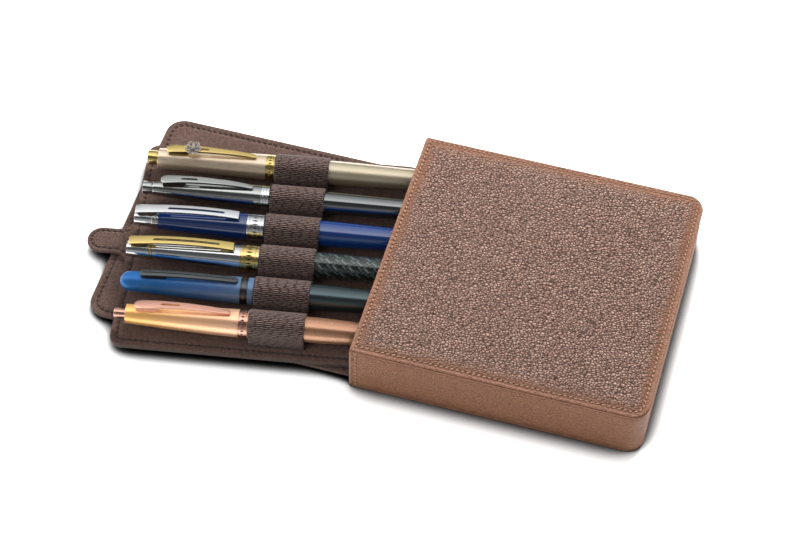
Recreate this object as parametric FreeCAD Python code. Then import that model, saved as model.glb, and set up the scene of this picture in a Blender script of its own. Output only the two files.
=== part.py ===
import FreeCAD, Part
import math
import os

# Pen case: a leather sleeve, open at one end, with a suede tray that carries six pens in
# elastic loops. Millimetres. X runs along the sleeve from its mouth (-X) to its closed end,
# Y from the front to the back, Z up. The origin is the centre of the sleeve's underside.

V = FreeCAD.Vector

# Sleeve
sleeve_depth = 138.0
sleeve_width = 133.0
mouth_corner_radius = 1.5
end_corner_radius = 8.0
base_leather_thickness = 1.0
base_board_thickness = 1.0
base_lining_thickness = 0.3
board_inset = 0.9
inner_height = 23.9
panel_overhang = 0.7
side_leather_thickness = 0.8
side_lining_thickness = 0.5
roof_lining_thickness = 0.3
roof_board_thickness = 0.9
roof_pad_edge = 0.2
roof_skin_thickness = 0.9
roof_crown = 1.1
roof_edge_round = 0.7
crown_rise = ((9, 0.6), (28, 1.0))

# Tray and leaf
tray_length = 136.5
tray_width = 122.0
tray_inner_corner_radius = 8.0
tray_outer_corner_radius = 5.5
suede_thickness = 0.9
tray_board_thickness = 1.0
tray_backing_thickness = 0.9
leaf_length = 141.5
leaf_width = 126.0
leaf_corner_radius = 9.0
leaf_suede_thickness = 0.8
leaf_backing_thickness = 0.8
joining_strip_length = 12.0
joining_strip_width = 60.0
lining_clearance = 0.2
leaf_clearance = 0.2

# How the tray lies when it is drawn out, as it is drawn in these solids
tray_yaw = 10.0
corner_inside_mouth = 0.8
back_wall_clearance = 1.2
stowed_back_clearance = 0.75
stowed_end_clearance = 1.5
leaf_beyond_mouth = 7.0

# Pull tab
tab_length = 20.5
tab_head_radius = 7.2
tab_flare_radius = 6.0
tab_thickness = 1.7
tab_root_length = 10.0

# Elastic loops
band_start = 64.5
band_width = 26.0
band_thickness = 1.0
band_clearance = 0.3
band_end_flat = 3.0
pen_pitch = 19.0
first_pen_margin = 14.0

# Pens, what they share
largest_pen_radius = 6.7
panel_clearance = 0.1
cap_mouth_clearance = 0.3
ring_depth = 0.6
ring_groove_depth = 0.15
ring_groove_width = 0.35
bore_radius = 4.9
bore_length = 22.5
nib_bore_radius = 3.6
nib_bore_length = 21.5
grip_length = 20.0
grip_clearance = 0.25
grip_step = 0.5
grip_front_length = 5.0
nib_length = 18.0
nib_radius = 3.0
nib_thickness = 0.45
nib_tip_width = 0.8
nib_breather_radius = 0.6
nib_slit_width = 0.2
nib_slit_length = 10.0
feed_radius = 2.0
feed_length = 13.5
barrel_bore_radius = 4.2
barrel_end_wall = 3.0
barrel_taper_length = 34.0
tail_chamfer = 0.8
clip_thickness = 1.0
clip_tip_lift = 0.15

# Derived places
half_depth = sleeve_depth / 2
half_width = sleeve_width / 2
floor_top = base_leather_thickness + base_board_thickness
inner_floor = floor_top + base_lining_thickness
inner_roof = inner_floor + inner_height
band_top = inner_roof + roof_lining_thickness
wall_thickness = panel_overhang + side_leather_thickness + side_lining_thickness
inner_half_width = half_width - wall_thickness
inner_end = half_depth - wall_thickness
leaf_bottom = inner_floor + lining_clearance
leaf_top = leaf_bottom + leaf_backing_thickness + leaf_suede_thickness
tray_bottom = leaf_top + leaf_clearance
board_bottom = tray_bottom + tray_backing_thickness
suede_bottom = board_bottom + tray_board_thickness
tray_top = suede_bottom + suede_thickness
pen_axis_height = tray_top + panel_clearance + largest_pen_radius

yaw = math.radians(tray_yaw)
corner_drawn_in = tray_inner_corner_radius * (math.cos(yaw) + math.sin(yaw) - 1)
tray_end_x = -half_depth + corner_inside_mouth + tray_width / 2 * math.sin(yaw)
tray_end_y = (inner_half_width - back_wall_clearance + corner_drawn_in
              - tray_width / 2 * math.cos(yaw))
tray_start = V(tray_end_x - tray_length * math.cos(yaw),
               tray_end_y - tray_length * math.sin(yaw), 0)

# The tray turns on the joining strip. This point keeps its Y while the tray goes in.
stowed_y = inner_half_width - tray_width / 2 - stowed_back_clearance
pivot_from_end = (tray_end_y - stowed_y) / math.sin(yaw)
pivot_x = tray_end_x - pivot_from_end * math.cos(yaw)
pivot_y = stowed_y
insert_travel = inner_end - stowed_end_clearance - pivot_from_end - pivot_x
leaf_start = -half_depth - leaf_beyond_mouth - insert_travel


def save(node, shape):
    """Writes one sub-part."""
    shape.exportStep("parts/" + node + ".step")


def on_tray(shape):
    """Turns and moves a shape from the tray's own frame to its place.

    In that frame X runs from the tray's outer edge towards the sleeve, and Y is measured
    from the tray's centre line."""
    placed = shape.copy()
    turn = FreeCAD.Rotation(V(0, 0, 1), tray_yaw)
    placed.Placement = FreeCAD.Placement(tray_start, turn).multiply(placed.Placement)
    return placed


def line(a, b):
    return Part.LineSegment(a, b).toShape()


def arc(a, b, c):
    return Part.Arc(a, b, c).toShape()


def rounded_wire(low_x, high_x, half_y, low_radius, high_radius, z):
    """A rectangle about the X axis with one corner radius at each end."""
    q = math.sqrt(0.5)
    a, b = low_radius, high_radius
    points = [
        V(low_x + a, -half_y, z), V(high_x - b, -half_y, z),
        V(high_x - b + b * q, -half_y + b - b * q, z),
        V(high_x, -half_y + b, z), V(high_x, half_y - b, z),
        V(high_x - b + b * q, half_y - b + b * q, z),
        V(high_x - b, half_y, z), V(low_x + a, half_y, z),
        V(low_x + a - a * q, half_y - a + a * q, z),
        V(low_x, half_y - a, z), V(low_x, -half_y + a, z),
        V(low_x + a - a * q, -half_y + a - a * q, z),
    ]
    edges = []
    for corner in range(0, 12, 3):
        start, end = points[corner], points[corner + 1]
        edges.append(line(start, end))
        after = points[(corner + 3) % 12]
        edges.append(arc(end, points[corner + 2], after))
    return Part.Wire(edges)


def plate(low_x, high_x, half_y, low_radius, high_radius, bottom, top):
    """A flat plate with rounded corners."""
    wire = rounded_wire(low_x, high_x, half_y, low_radius, high_radius, bottom)
    return Part.Face(wire).extrude(V(0, 0, top - bottom))


def sleeve_plate(inset, bottom, top):
    """A plate with the sleeve's outline, drawn in by the inset."""
    return plate(-half_depth + inset, half_depth - inset, half_width - inset,
                 max(mouth_corner_radius - inset, 0.5), max(end_corner_radius - inset, 0.5),
                 bottom, top)


def crowned_panel(inset, bottom, edge_top, edge_round):
    """A panel whose edge is rolled over and whose middle is gently domed."""
    rolls = [(0, bottom), (0, edge_top - edge_round)]
    if edge_round > 0:
        rolls += [(0.3 * edge_round, edge_top - 0.3 * edge_round), (edge_round, edge_top)]
    dome = [(reach, edge_top + roof_crown * share) for reach, share in crown_rise]
    wires = []
    for reach, z in rolls + dome:
        drawn_in = inset + reach
        wires.append(rounded_wire(-half_depth + drawn_in, half_depth - drawn_in,
                                  half_width - drawn_in,
                                  max(mouth_corner_radius - drawn_in, 0.5),
                                  max(end_corner_radius - drawn_in, 0.5), z))
    return Part.makeLoft(wires, True, True)


def side_wall(inset, thickness, bottom, top):
    """A wall round three sides, open at the mouth."""
    outer = sleeve_plate(inset, bottom, top)
    inner_half = half_width - inset - thickness
    inner = plate(-half_depth - thickness, half_depth - inset - thickness, inner_half,
                  0.5, max(end_corner_radius - inset - thickness, 0.5), bottom, top)
    mouth_cut = Part.makeBox(inset + mouth_corner_radius, sleeve_width, top - bottom,
                             V(-half_depth, -half_width, bottom))
    straight = Part.makeBox(inset + mouth_corner_radius, sleeve_width - 2 * inset,
                            top - bottom, V(-half_depth, -half_width + inset, bottom))
    return outer.cut(mouth_cut).fuse(straight).cut(inner).removeSplitter()


def make_sleeve():
    save("sleeve_base_leather", sleeve_plate(0, 0, base_leather_thickness))
    save("sleeve_base_board", sleeve_plate(board_inset, base_leather_thickness, floor_top))
    lining_gap = 0.1
    save("sleeve_base_lining",
         plate(-half_depth + board_inset, inner_end - lining_gap,
               inner_half_width - lining_gap, 0.5, end_corner_radius - wall_thickness,
               floor_top, inner_floor))
    save("sleeve_side_band",
         side_wall(panel_overhang, side_leather_thickness, floor_top, band_top))
    save("sleeve_side_lining",
         side_wall(panel_overhang + side_leather_thickness, side_lining_thickness,
                   floor_top, band_top))
    save("sleeve_top_lining",
         plate(-half_depth + board_inset, inner_end - lining_gap,
               inner_half_width - lining_gap, 0.5, end_corner_radius - wall_thickness,
               inner_roof, band_top))
    board_top = band_top + roof_board_thickness
    pad_edge_top = board_top + roof_pad_edge
    board = sleeve_plate(roof_skin_thickness, band_top, board_top)
    pad = crowned_panel(roof_skin_thickness, board_top, pad_edge_top, 0)
    skin = crowned_panel(0, band_top, pad_edge_top + roof_skin_thickness, roof_edge_round)
    save("sleeve_top_board", board)
    save("sleeve_top_padding", pad)
    save("sleeve_top_leather", skin.cut(board.fuse(pad)))


def make_leaf():
    end = leaf_start + leaf_length
    backing_top = leaf_bottom + leaf_backing_thickness
    strip_start = end - joining_strip_length

    def leaf_plate(bottom, top):
        return plate(leaf_start, end, leaf_width / 2, leaf_corner_radius,
                     tray_inner_corner_radius, bottom, top)

    strip = Part.makeBox(joining_strip_length, joining_strip_width, leaf_suede_thickness,
                         V(strip_start, pivot_y - joining_strip_width / 2, backing_top))
    save("leaf_backing", leaf_plate(leaf_bottom, backing_top))
    save("joining_strip", strip)
    save("leaf_suede", leaf_plate(backing_top, leaf_top).cut(strip))


def tray_plate(bottom, top):
    return plate(0, tray_length, tray_width / 2, tray_outer_corner_radius,
                 tray_inner_corner_radius, bottom, top)


def tab_outline(z):
    """The pull tab: a round head whose neck flares into the tray's edge."""
    head, flare, q = tab_head_radius, tab_flare_radius, math.sqrt(0.5)
    head_x = -tab_length + head
    root = head + flare
    points = [V(head_x, head, z), V(-tab_length, 0, z), V(head_x, -head, z),
              V(-flare, -head, z), V(-flare + flare * q, -root + flare * q, z),
              V(0, -root, z), V(0, root, z), V(-flare + flare * q, root - flare * q, z),
              V(-flare, head, z)]
    return Part.Wire([
        arc(points[0], points[1], points[2]), line(points[2], points[3]),
        arc(points[3], points[4], points[5]), line(points[5], points[6]),
        arc(points[6], points[7], points[8]), line(points[8], points[0])])


def make_tray():
    root_half = tab_head_radius + tab_flare_radius
    root = Part.makeBox(tab_root_length, 2 * root_half, tray_board_thickness,
                        V(0, -root_half, board_bottom))
    tab_bottom = board_bottom - (tab_thickness - tray_board_thickness) / 2
    tab = Part.Face(tab_outline(tab_bottom)).extrude(V(0, 0, tab_thickness))
    save("pull_tab", on_tray(tab.fuse(root).removeSplitter()))
    save("tray_backing", on_tray(tray_plate(tray_bottom, board_bottom)))
    save("tray_board", on_tray(tray_plate(board_bottom, suede_bottom).cut(root)))
    save("tray_suede", on_tray(tray_plate(suede_bottom, tray_top)))


def arch(y, radius):
    """A loop's section: an upright D that stands on the tray."""
    z = pen_axis_height
    wire = Part.Wire([
        line(V(band_start, y - radius, tray_top), V(band_start, y + radius, tray_top)),
        line(V(band_start, y + radius, tray_top), V(band_start, y + radius, z)),
        arc(V(band_start, y + radius, z), V(band_start, y, z + radius),
            V(band_start, y - radius, z)),
        line(V(band_start, y - radius, z), V(band_start, y - radius, tray_top))])
    return Part.Face(wire).extrude(V(band_width, 0, 0))


def pen_y(number):
    """The place across the tray of pens 1 (at the back) to 6."""
    return tray_width / 2 - first_pen_margin - (number - 1) * pen_pitch


def make_elastic_loops():
    solids, hollows = [], []
    for number in range(1, 7):
        inner = pens[number]["barrel_radius"] + band_clearance
        solids.append(arch(pen_y(number), inner + band_thickness))
        hollows.append(arch(pen_y(number), inner))
    first = pens[1]["barrel_radius"] + band_clearance + band_thickness
    last = pens[6]["barrel_radius"] + band_clearance
    low, high = pen_y(6) - last, pen_y(1) + first + band_end_flat
    flat = Part.makeBox(band_width, high - low, band_thickness, V(band_start, low, tray_top))
    band = flat.fuse(solids)
    for hollow in hollows:
        band = band.cut(hollow)
    save("elastic_loops", on_tray(band.removeSplitter()))


def lathe(*profile):
    """Turns a profile of (x, radius) points about the X axis."""
    points = [V(x, radius, 0) for x, radius in profile]
    points.append(points[0])
    return Part.Face(Part.makePolygon(points)).revolve(V(0, 0, 0), V(1, 0, 0), 360)


def drum(x, length, radius):
    """A cylinder along the pen's axis."""
    return Part.makeCylinder(radius, length, V(x, 0, 0), V(1, 0, 0))


def place_pen(number, shape):
    """Moves a shape from its pen's frame, where X starts at the pen's outer end."""
    placed = shape.copy()
    start = band_start - cap_mouth_clearance - pens[number]["mouth"]
    placed.translate(V(start, pen_y(number), pen_axis_height))
    return on_tray(placed)


def clip_body(pen, envelope):
    """An arched strip with a slot, held to the cap by a lug under its outer end."""
    start, end, width = pen["clip_start"], pen["clip_end"], pen["clip_width"]
    tip_width = pen["clip_tip_width"]
    low, crest, tip = pen["clip_heights"]
    middle = start + pen["clip_crest"]
    t = clip_thickness
    side = Part.Wire([
        arc(V(start, -width, low), V(middle, -width, crest), V(end, -width, tip)),
        line(V(end, -width, tip), V(end, -width, tip + t)),
        arc(V(end, -width, tip + t), V(middle, -width, crest + t), V(start, -width, low + t)),
        line(V(start, -width, low + t), V(start, -width, low))])
    strip = Part.Face(side).extrude(V(0, 2 * width, 0))
    round_start = width / 2 if pen["clip_round"] else 0.4
    a, b, c = width / 2, tip_width / 2, tip_width / 2 if pen["clip_round"] else 0.3
    height = largest_pen_radius * 2
    plan = Part.Wire([
        line(V(start + round_start, -a, 0), V(end - c, -b, 0)),
        arc(V(end - c, -b, 0), V(end, 0, 0), V(end - c, b, 0)),
        line(V(end - c, b, 0), V(start + round_start, a, 0)),
        arc(V(start + round_start, a, 0), V(start, 0, 0), V(start + round_start, -a, 0))])
    body = strip.common(Part.Face(plan).extrude(V(0, 0, height)))
    slot_half = pen["slot_width"] / 2
    slot_start, slot_end = pen["slot"]
    slot = Part.makeBox(slot_end - slot_start, 2 * slot_half, height,
                        V(slot_start, -slot_half, 0))
    for x in (slot_start, slot_end):
        slot = slot.fuse(Part.makeCylinder(slot_half, height, V(x, 0, 0)))
    body = body.cut(slot)
    lug_half = 0.36 * width
    lug_start, lug_end = start + 1.0, start + pen["lug_length"]
    lug = Part.makeBox(lug_end - lug_start, 2 * lug_half, low + t / 2,
                       V(lug_start, -lug_half, 0))
    top_cut = Part.Wire([
        arc(V(start, -width, low + t / 2), V(middle, -width, crest + t / 2),
            V(end, -width, tip + t / 2)),
        line(V(end, -width, tip + t / 2), V(end, -width, height)),
        line(V(end, -width, height), V(start, -width, height)),
        line(V(start, -width, height), V(start, -width, low + t / 2))])
    lug = Part.makeBox(lug_end - lug_start, 2 * lug_half, height,
                       V(lug_start, -lug_half, 0)).cut(
        Part.Face(top_cut).extrude(V(0, 2 * width, 0)))
    return body.fuse(lug).cut(envelope).removeSplitter()


def make_ring(number, outer, start, end, inner):
    """A metal ring let in flush, with a fine groove near the cap's mouth."""
    groove = start + 0.72 * (end - start)
    floor = outer - ring_groove_depth
    ring = lathe((start, inner), (start, outer), (groove, outer), (groove, floor),
                 (groove + ring_groove_width, floor), (groove + ring_groove_width, outer),
                 (end, outer), (end, inner))
    save("pen%d_ring" % number, place_pen(number, ring))


def make_nib(number, base):
    """A curved nib: a strip of tube cut to shoulders, a point, a breather hole and a slit."""
    tip = base - nib_length
    shell = drum(tip, nib_length, nib_radius).cut(
        drum(tip - 1, nib_length + 2, nib_radius - nib_thickness))
    wide, narrow = 0.86 * nib_radius, nib_tip_width / 2
    waist = base - 0.42 * nib_length
    plan = Part.Wire([
        line(V(base, -wide, 0), V(waist, -wide, 0)),
        arc(V(waist, -wide, 0), V((waist + tip) / 2 - 1, -0.42 * nib_radius, 0),
            V(tip, -narrow, 0)),
        line(V(tip, -narrow, 0), V(tip, narrow, 0)),
        arc(V(tip, narrow, 0), V((waist + tip) / 2 - 1, 0.42 * nib_radius, 0),
            V(waist, wide, 0)),
        line(V(waist, wide, 0), V(base, wide, 0)),
        line(V(base, wide, 0), V(base, -wide, 0))])
    nib = shell.common(Part.Face(plan).extrude(V(0, 0, 2 * nib_radius)))
    breather = Part.makeCylinder(nib_breather_radius, 2 * nib_radius,
                                 V(tip + nib_slit_length, 0, 0))
    slit = Part.makeBox(nib_slit_length, nib_slit_width, 2 * nib_radius,
                        V(tip - 0.5, -nib_slit_width / 2, 0))
    save("pen%d_nib" % number, place_pen(number, nib.cut(breather).cut(slit)))


def make_grip(number, mouth):
    """The grip section, stepped down at its front, and the feed under the nib."""
    root = bore_radius - grip_clearance
    front = mouth - grip_length
    grip = lathe((front, 0), (front, root - grip_step),
                 (front + grip_front_length, root - grip_step),
                 (front + grip_front_length, root), (mouth, root), (mouth, 0))
    return grip.fuse(drum(front - feed_length, feed_length, feed_radius)), front


def cap_radius(pen, x):
    """The cap's outer radius: a taper from its end to its mouth, bowed outwards."""
    share = (x - pen["cap_start"]) / (pen["mouth"] - pen["cap_start"])
    taper = pen["top_radius"] + share * (pen["mouth_radius"] - pen["top_radius"])
    return taper + 4 * pen["cap_bow"] * share * (1 - share)


def cap_envelope(pen):
    """The cap's outside, turned as three tapers."""
    start, mouth = pen["cap_start"], pen["mouth"]
    places = [start, start + 0.28 * (mouth - start), start + 0.62 * (mouth - start), mouth]
    outline = [(x, cap_radius(pen, x)) for x in places]
    return lathe((start, 0), *outline, (mouth, 0))


def make_capped_pen(number):
    pen = pens[number]
    mouth, start = pen["mouth"], pen["cap_start"]
    envelope = cap_envelope(pen)
    if pen["finial"] == "dome":
        top = pen["top_radius"]
        ball = (top ** 2 + start ** 2) / (2 * start)
        dome = Part.makeSphere(ball, V(ball, 0, 0)).common(drum(0, start, top + 1))
        envelope = envelope.fuse(dome)

    ring_start, ring_end = pen["ring"]
    inner = pen["mouth_radius"] - ring_depth
    ring_seat = drum(ring_start, ring_end - ring_start, pen["mouth_radius"] + 1).cut(
        drum(ring_start, ring_end - ring_start, inner))
    cap = envelope.cut(ring_seat)
    cap = cap.cut(drum(mouth - bore_length, bore_length, bore_radius))
    nib_bore_start = mouth - bore_length - nib_bore_length
    cap = cap.cut(drum(nib_bore_start, nib_bore_length, nib_bore_radius))

    if pen["finial"] == "drum":
        finial = drum(0, start, pen["finial_radius"])
        save("pen%d_finial" % number, place_pen(number, finial))
    if pen["finial"] == "cone":
        r, bead, wide = pen["finial_radius"], 0.25, pen["top_radius"]
        finial = lathe((0, 0), (0, r), (start - 3.0, wide - 0.4), (start - 3.0, wide),
                       (start - 1.8, wide), (start - 1.8, wide - bead),
                       (start - 1.3, wide - bead), (start - 1.3, wide), (start, wide),
                       (start, 0))
        save("pen%d_finial" % number, place_pen(number, finial))
        envelope = envelope.fuse(finial)
    if pen["finial"] == "rings":
        seat, width, gap = pen["top_rings"]
        depth = 0.4
        proud = 0.15
        outside = cap_radius(pen, seat) + proud
        rings = drum(seat, width, outside).cut(drum(seat, width, outside - depth))
        groove = drum(seat + width / 2 - gap / 2, gap, outside).cut(
            drum(seat + width / 2 - gap / 2, gap, outside - proud))
        save("pen%d_top_rings" % number, place_pen(number, rings.cut(groove)))
        cap = cap.cut(drum(seat, width, outside + 1).cut(drum(seat, width, outside - depth)))
        envelope = envelope.fuse(rings)
    save("pen%d_cap" % number, place_pen(number, cap))
    make_ring(number, pen["mouth_radius"], ring_start, ring_end, inner)
    clip = clip_body(pen, envelope)
    save("pen%d_clip" % number, place_pen(number, clip))
    if "charm_at" in pen:
        make_charm(clip)

    barrel_radius, tail, end = pen["barrel_radius"], pen["tail_radius"], pen["length"]
    taper_start = end - barrel_taper_length
    barrel = lathe((mouth, 0), (mouth, barrel_radius), (taper_start, barrel_radius),
                   (end - tail_chamfer, tail), (end, tail - tail_chamfer), (end, 0))
    bore_end = end - barrel_end_wall
    barrel = barrel.cut(drum(mouth, bore_end - mouth, barrel_bore_radius))
    save("pen%d_barrel" % number, place_pen(number, barrel))

    grip, front = make_grip(number, mouth)
    if number == 5:
        root = bore_radius - grip_clearance
        tip = lathe((front - 9.0, 0), (front - 9.0, 0.5), (front - 5.0, 1.2),
                    (front - 5.0, 2.2), (front, 2.2), (front, 0))
        grip = lathe((front, 0), (front, 2.9), (front + 7.0, root), (mouth, root),
                     (mouth, 0))
        save("pen5_tip", place_pen(number, tip))
        save("pen5_grip", place_pen(number, grip))
    else:
        make_nib(number, front)
        nib_room = drum(front - nib_length - 1, nib_length + 1, nib_radius)
        under = Part.makeBox(nib_length + 1, 4 * nib_radius, nib_radius * 2,
                             V(front - nib_length - 1, -2 * nib_radius, 0))
        save("pen%d_grip" % number, place_pen(number, grip.cut(nib_room.common(under).cut(
            drum(front - nib_length - 1, nib_length + 1, nib_radius - nib_thickness)))))


def make_charm(clip):
    """The small open-work blossom that clasps the clip of pen 1."""
    pen = pens[1]
    x, z = pen["charm_at"]
    petal, centre, count, thickness = 1.5, 1.3, 5, 1.2
    blossom = Part.makeCylinder(centre, thickness + 0.5, V(x, 0, z))
    for index in range(count):
        turn = 2 * math.pi * index / count
        middle = V(x + 2.3 * math.cos(turn), 2.3 * math.sin(turn), z)
        leaf = Part.makeCylinder(petal, thickness, middle).cut(
            Part.makeCylinder(petal * 0.45, thickness, middle))
        blossom = blossom.fuse(leaf)
    save("pen1_charm", place_pen(1, blossom.cut(clip).removeSplitter()))


def make_click_pen():
    """Pen 6: the button pushes a refill forward against a spring."""
    pen = pens[6]
    start, mouth, end = pen["cap_start"], pen["mouth"], pen["length"]
    ring_start, ring_end = pen["ring"]
    envelope = cap_envelope(pen)
    inner = pen["mouth_radius"] - ring_depth
    button_radius, channel = pen["button_radius"], pen["channel_radius"]
    seat = drum(ring_start, ring_end - ring_start, pen["mouth_radius"] + 1).cut(
        drum(ring_start, ring_end - ring_start, inner))
    upper = envelope.cut(seat)
    upper = upper.cut(drum(start, pen["button_depth"], button_radius + grip_clearance))
    upper = upper.cut(drum(start + pen["button_depth"], mouth - start, channel))
    save("pen6_upper_barrel", place_pen(6, upper))
    make_ring(6, pen["ring_radius"], ring_start, ring_end, inner)
    save("pen6_clip", place_pen(6, clip_body(pen, envelope)))

    guide_end = start + pen["button_depth"] - pen["button_travel"] - 0.5
    save("pen6_button", place_pen(6, drum(0, guide_end, button_radius)))

    nose_length, nose_radius = 12.0, 1.9
    nose_bore = 1.35
    lower = lathe((mouth, 0), (mouth, pen["barrel_radius"]),
                  (end - barrel_taper_length, pen["barrel_radius"]),
                  (end - nose_length, pen["tail_radius"]), (end, nose_radius), (end, 0))
    channel_end = end - nose_length + 1.0
    lower = lower.cut(drum(mouth, channel_end - mouth, channel))
    lower = lower.cut(drum(channel_end, end - channel_end, nose_bore))
    save("pen6_lower_barrel", place_pen(6, lower))

    refill_start = guide_end
    collar = channel_end - pen["button_travel"] - pen["spring_length"] - 0.4
    thin = nose_bore - 0.25
    refill = lathe((refill_start, 0), (refill_start, 1.6), (collar - 2, 1.6),
                   (collar - 2, 2.4), (collar, 2.4), (collar, thin), (end - 2.5, thin),
                   (end - 0.8, 0.35), (end - 0.8, 0))
    save("pen6_refill", place_pen(6, refill))
    spring_start = channel_end - pen["spring_length"]
    spring = drum(spring_start, pen["spring_length"], 2.3).cut(
        drum(spring_start, pen["spring_length"], 1.6))
    save("pen6_spring", place_pen(6, spring))


# The six pens. Lengths run from each pen's outer end; mouth is where the cap ends.
pens = {
    1: {"mouth": 62.4, "length": 130.6, "cap_start": 5.3, "top_radius": 4.8,
        "mouth_radius": 6.2, "cap_bow": 0.25, "ring": (58.1, 62.1),
        "barrel_radius": 5.8, "tail_radius": 5.2, "finial": "drum", "finial_radius": 3.5,
        "clip_start": 9.5, "clip_end": 53.5, "clip_width": 4.6, "clip_tip_width": 2.0,
        "clip_heights": (6.9, 8.3, 6.4), "clip_crest": 20.0, "clip_round": True,
        "slot": (24.0, 30.0), "slot_width": 1.0, "lug_length": 10.0,
        "charm_at": (22.5, 9.2)},
    2: {"mouth": 61.8, "length": 129.2, "cap_start": 4.9, "top_radius": 3.3,
        "mouth_radius": 5.9, "cap_bow": 0.75, "ring": (57.7, 61.5),
        "barrel_radius": 5.5, "tail_radius": 4.9, "finial": "drum", "finial_radius": 3.1,
        "clip_start": 9.0, "clip_end": 53.7, "clip_width": 4.8, "clip_tip_width": 2.2,
        "clip_heights": (6.4, 8.2, 6.15), "clip_crest": 21.0, "clip_round": True,
        "slot": (19.5, 26.5), "slot_width": 1.0, "lug_length": 11.0},
    3: {"mouth": 62.6, "length": 131.2, "cap_start": 11.7, "top_radius": 4.6,
        "mouth_radius": 6.6, "cap_bow": 0.4, "ring": (54.3, 62.3),
        "barrel_radius": 6.2, "tail_radius": 5.4, "finial": "cone", "finial_radius": 3.4,
        "clip_start": 0.6, "clip_end": 50.5, "clip_width": 4.8, "clip_tip_width": 4.6,
        "clip_heights": (5.9, 8.6, 7.8), "clip_crest": 24.0, "clip_round": False,
        "slot": (17.0, 43.0), "slot_width": 1.1, "lug_length": 9.5},
    4: {"mouth": 63.2, "length": 131.8, "cap_start": 0.0, "top_radius": 3.7,
        "mouth_radius": 6.65, "cap_bow": 0.45, "ring": (54.4, 62.9),
        "barrel_radius": 6.2, "tail_radius": 5.5, "finial": "rings",
        "top_rings": (10.6, 2.0, 0.5),
        "clip_start": 1.2, "clip_end": 51.3, "clip_width": 4.8, "clip_tip_width": 4.6,
        "clip_heights": (5.9, 8.6, 7.8), "clip_crest": 24.0, "clip_round": False,
        "slot": (13.5, 44.0), "slot_width": 1.1, "lug_length": 8.5},
    5: {"mouth": 63.4, "length": 131.6, "cap_start": 4.2, "top_radius": 4.6,
        "mouth_radius": 6.5, "cap_bow": 0.35, "ring": (57.2, 60.6),
        "barrel_radius": 6.1, "tail_radius": 5.3, "finial": "dome",
        "clip_start": 9.6, "clip_end": 56.0, "clip_width": 3.8, "clip_tip_width": 3.2,
        "clip_heights": (6.5, 7.6, 7.0), "clip_crest": 22.0, "clip_round": True,
        "slot": (12.0, 12.4), "slot_width": 0.4, "lug_length": 12.0},
    6: {"mouth": 63.0, "length": 131.4, "cap_start": 5.6, "top_radius": 4.5,
        "mouth_radius": 6.7, "cap_bow": 0.35, "ring": (58.6, 62.7),
        "ring_radius": 6.3,
        "barrel_radius": 6.0, "tail_radius": 5.2, "button_radius": 2.3,
        "button_depth": 14.0, "button_travel": 4.5, "channel_radius": 2.7,
        "spring_length": 14.0,
        "clip_start": 10.0, "clip_end": 54.7, "clip_width": 4.8, "clip_tip_width": 2.2,
        "clip_heights": (6.8, 8.9, 7.0), "clip_crest": 20.0, "clip_round": True,
        "slot": (23.0, 31.0), "slot_width": 1.0, "lug_length": 10.0},
}

os.makedirs("parts", exist_ok=True)
make_sleeve()
make_leaf()
make_tray()
make_elastic_loops()
for pen_number in (1, 2, 3, 4, 5):
    make_capped_pen(pen_number)
make_click_pen()
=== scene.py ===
import math
import bmesh
import bpy
from mathutils import Matrix, Vector, noise


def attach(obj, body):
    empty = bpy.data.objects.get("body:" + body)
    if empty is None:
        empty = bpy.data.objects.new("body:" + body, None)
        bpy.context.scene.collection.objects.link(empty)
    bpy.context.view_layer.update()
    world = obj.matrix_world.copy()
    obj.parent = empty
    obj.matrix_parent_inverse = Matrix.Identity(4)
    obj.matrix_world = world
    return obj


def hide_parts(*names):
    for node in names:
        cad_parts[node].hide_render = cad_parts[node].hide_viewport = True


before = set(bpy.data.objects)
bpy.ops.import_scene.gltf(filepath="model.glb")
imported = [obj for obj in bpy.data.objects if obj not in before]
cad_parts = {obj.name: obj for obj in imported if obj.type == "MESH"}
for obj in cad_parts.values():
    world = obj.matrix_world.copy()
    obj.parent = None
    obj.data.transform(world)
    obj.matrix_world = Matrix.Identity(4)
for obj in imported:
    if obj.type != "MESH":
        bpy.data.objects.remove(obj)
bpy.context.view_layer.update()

mm = 0.001

# The tray's own frame: X from its outer edge towards the sleeve, Y across it, millimetres.
trayTurn = math.radians(10.0)
trayStart = (-192.0337, -19.2086)
trayTop = 7.1
penHeight = 13.9
turnLength = 140.0  # V on the pens is a share of this length


def sleevePoint(x, y, z):
    return Vector((x * mm, y * mm, z * mm))


def trayPoint(x, y, z):
    c, s = math.cos(trayTurn), math.sin(trayTurn)
    return sleevePoint(trayStart[0] + x * c - y * s, trayStart[1] + x * s + y * c, z)


def tone(red, green, blue):
    def linear(value):
        value /= 255
        return value / 12.92 if value <= 0.04045 else ((value + 0.055) / 1.055) ** 2.4
    return (linear(red), linear(green), linear(blue), 1.0)


# Node helpers

class Flow:
    # A socket that can stand in a sum: each sign in the sum adds one Math node.
    def __init__(self, tree, socket):
        self.tree, self.socket = tree, socket


def feed(tree, socket, value):
    if isinstance(value, Flow):
        value = value.socket
    if isinstance(value, bpy.types.NodeSocket):
        tree.links.new(value, socket)
    else:
        socket.default_value = value


def node(tree, kind, inputs=None, **values):
    made = tree.nodes.new(kind)
    for key, value in values.items():
        setattr(made, key, value)
    for key, value in (inputs or {}).items():
        feed(tree, made.inputs[key], value)
    return made


def maths(tree, operation, *values):
    made = node(tree, "ShaderNodeMath", dict(enumerate(values)), operation=operation)
    return Flow(tree, made.outputs[0])


def sign(operation, swapped):
    return lambda one, two: maths(one.tree, operation,
                                  *((two, one) if swapped else (one, two)))


for word, operation in (("add", "ADD"), ("sub", "SUBTRACT"), ("mul", "MULTIPLY"),
                        ("truediv", "DIVIDE"), ("pow", "POWER")):
    setattr(Flow, "__%s__" % word, sign(operation, False))
    setattr(Flow, "__r%s__" % word, sign(operation, True))


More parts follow.
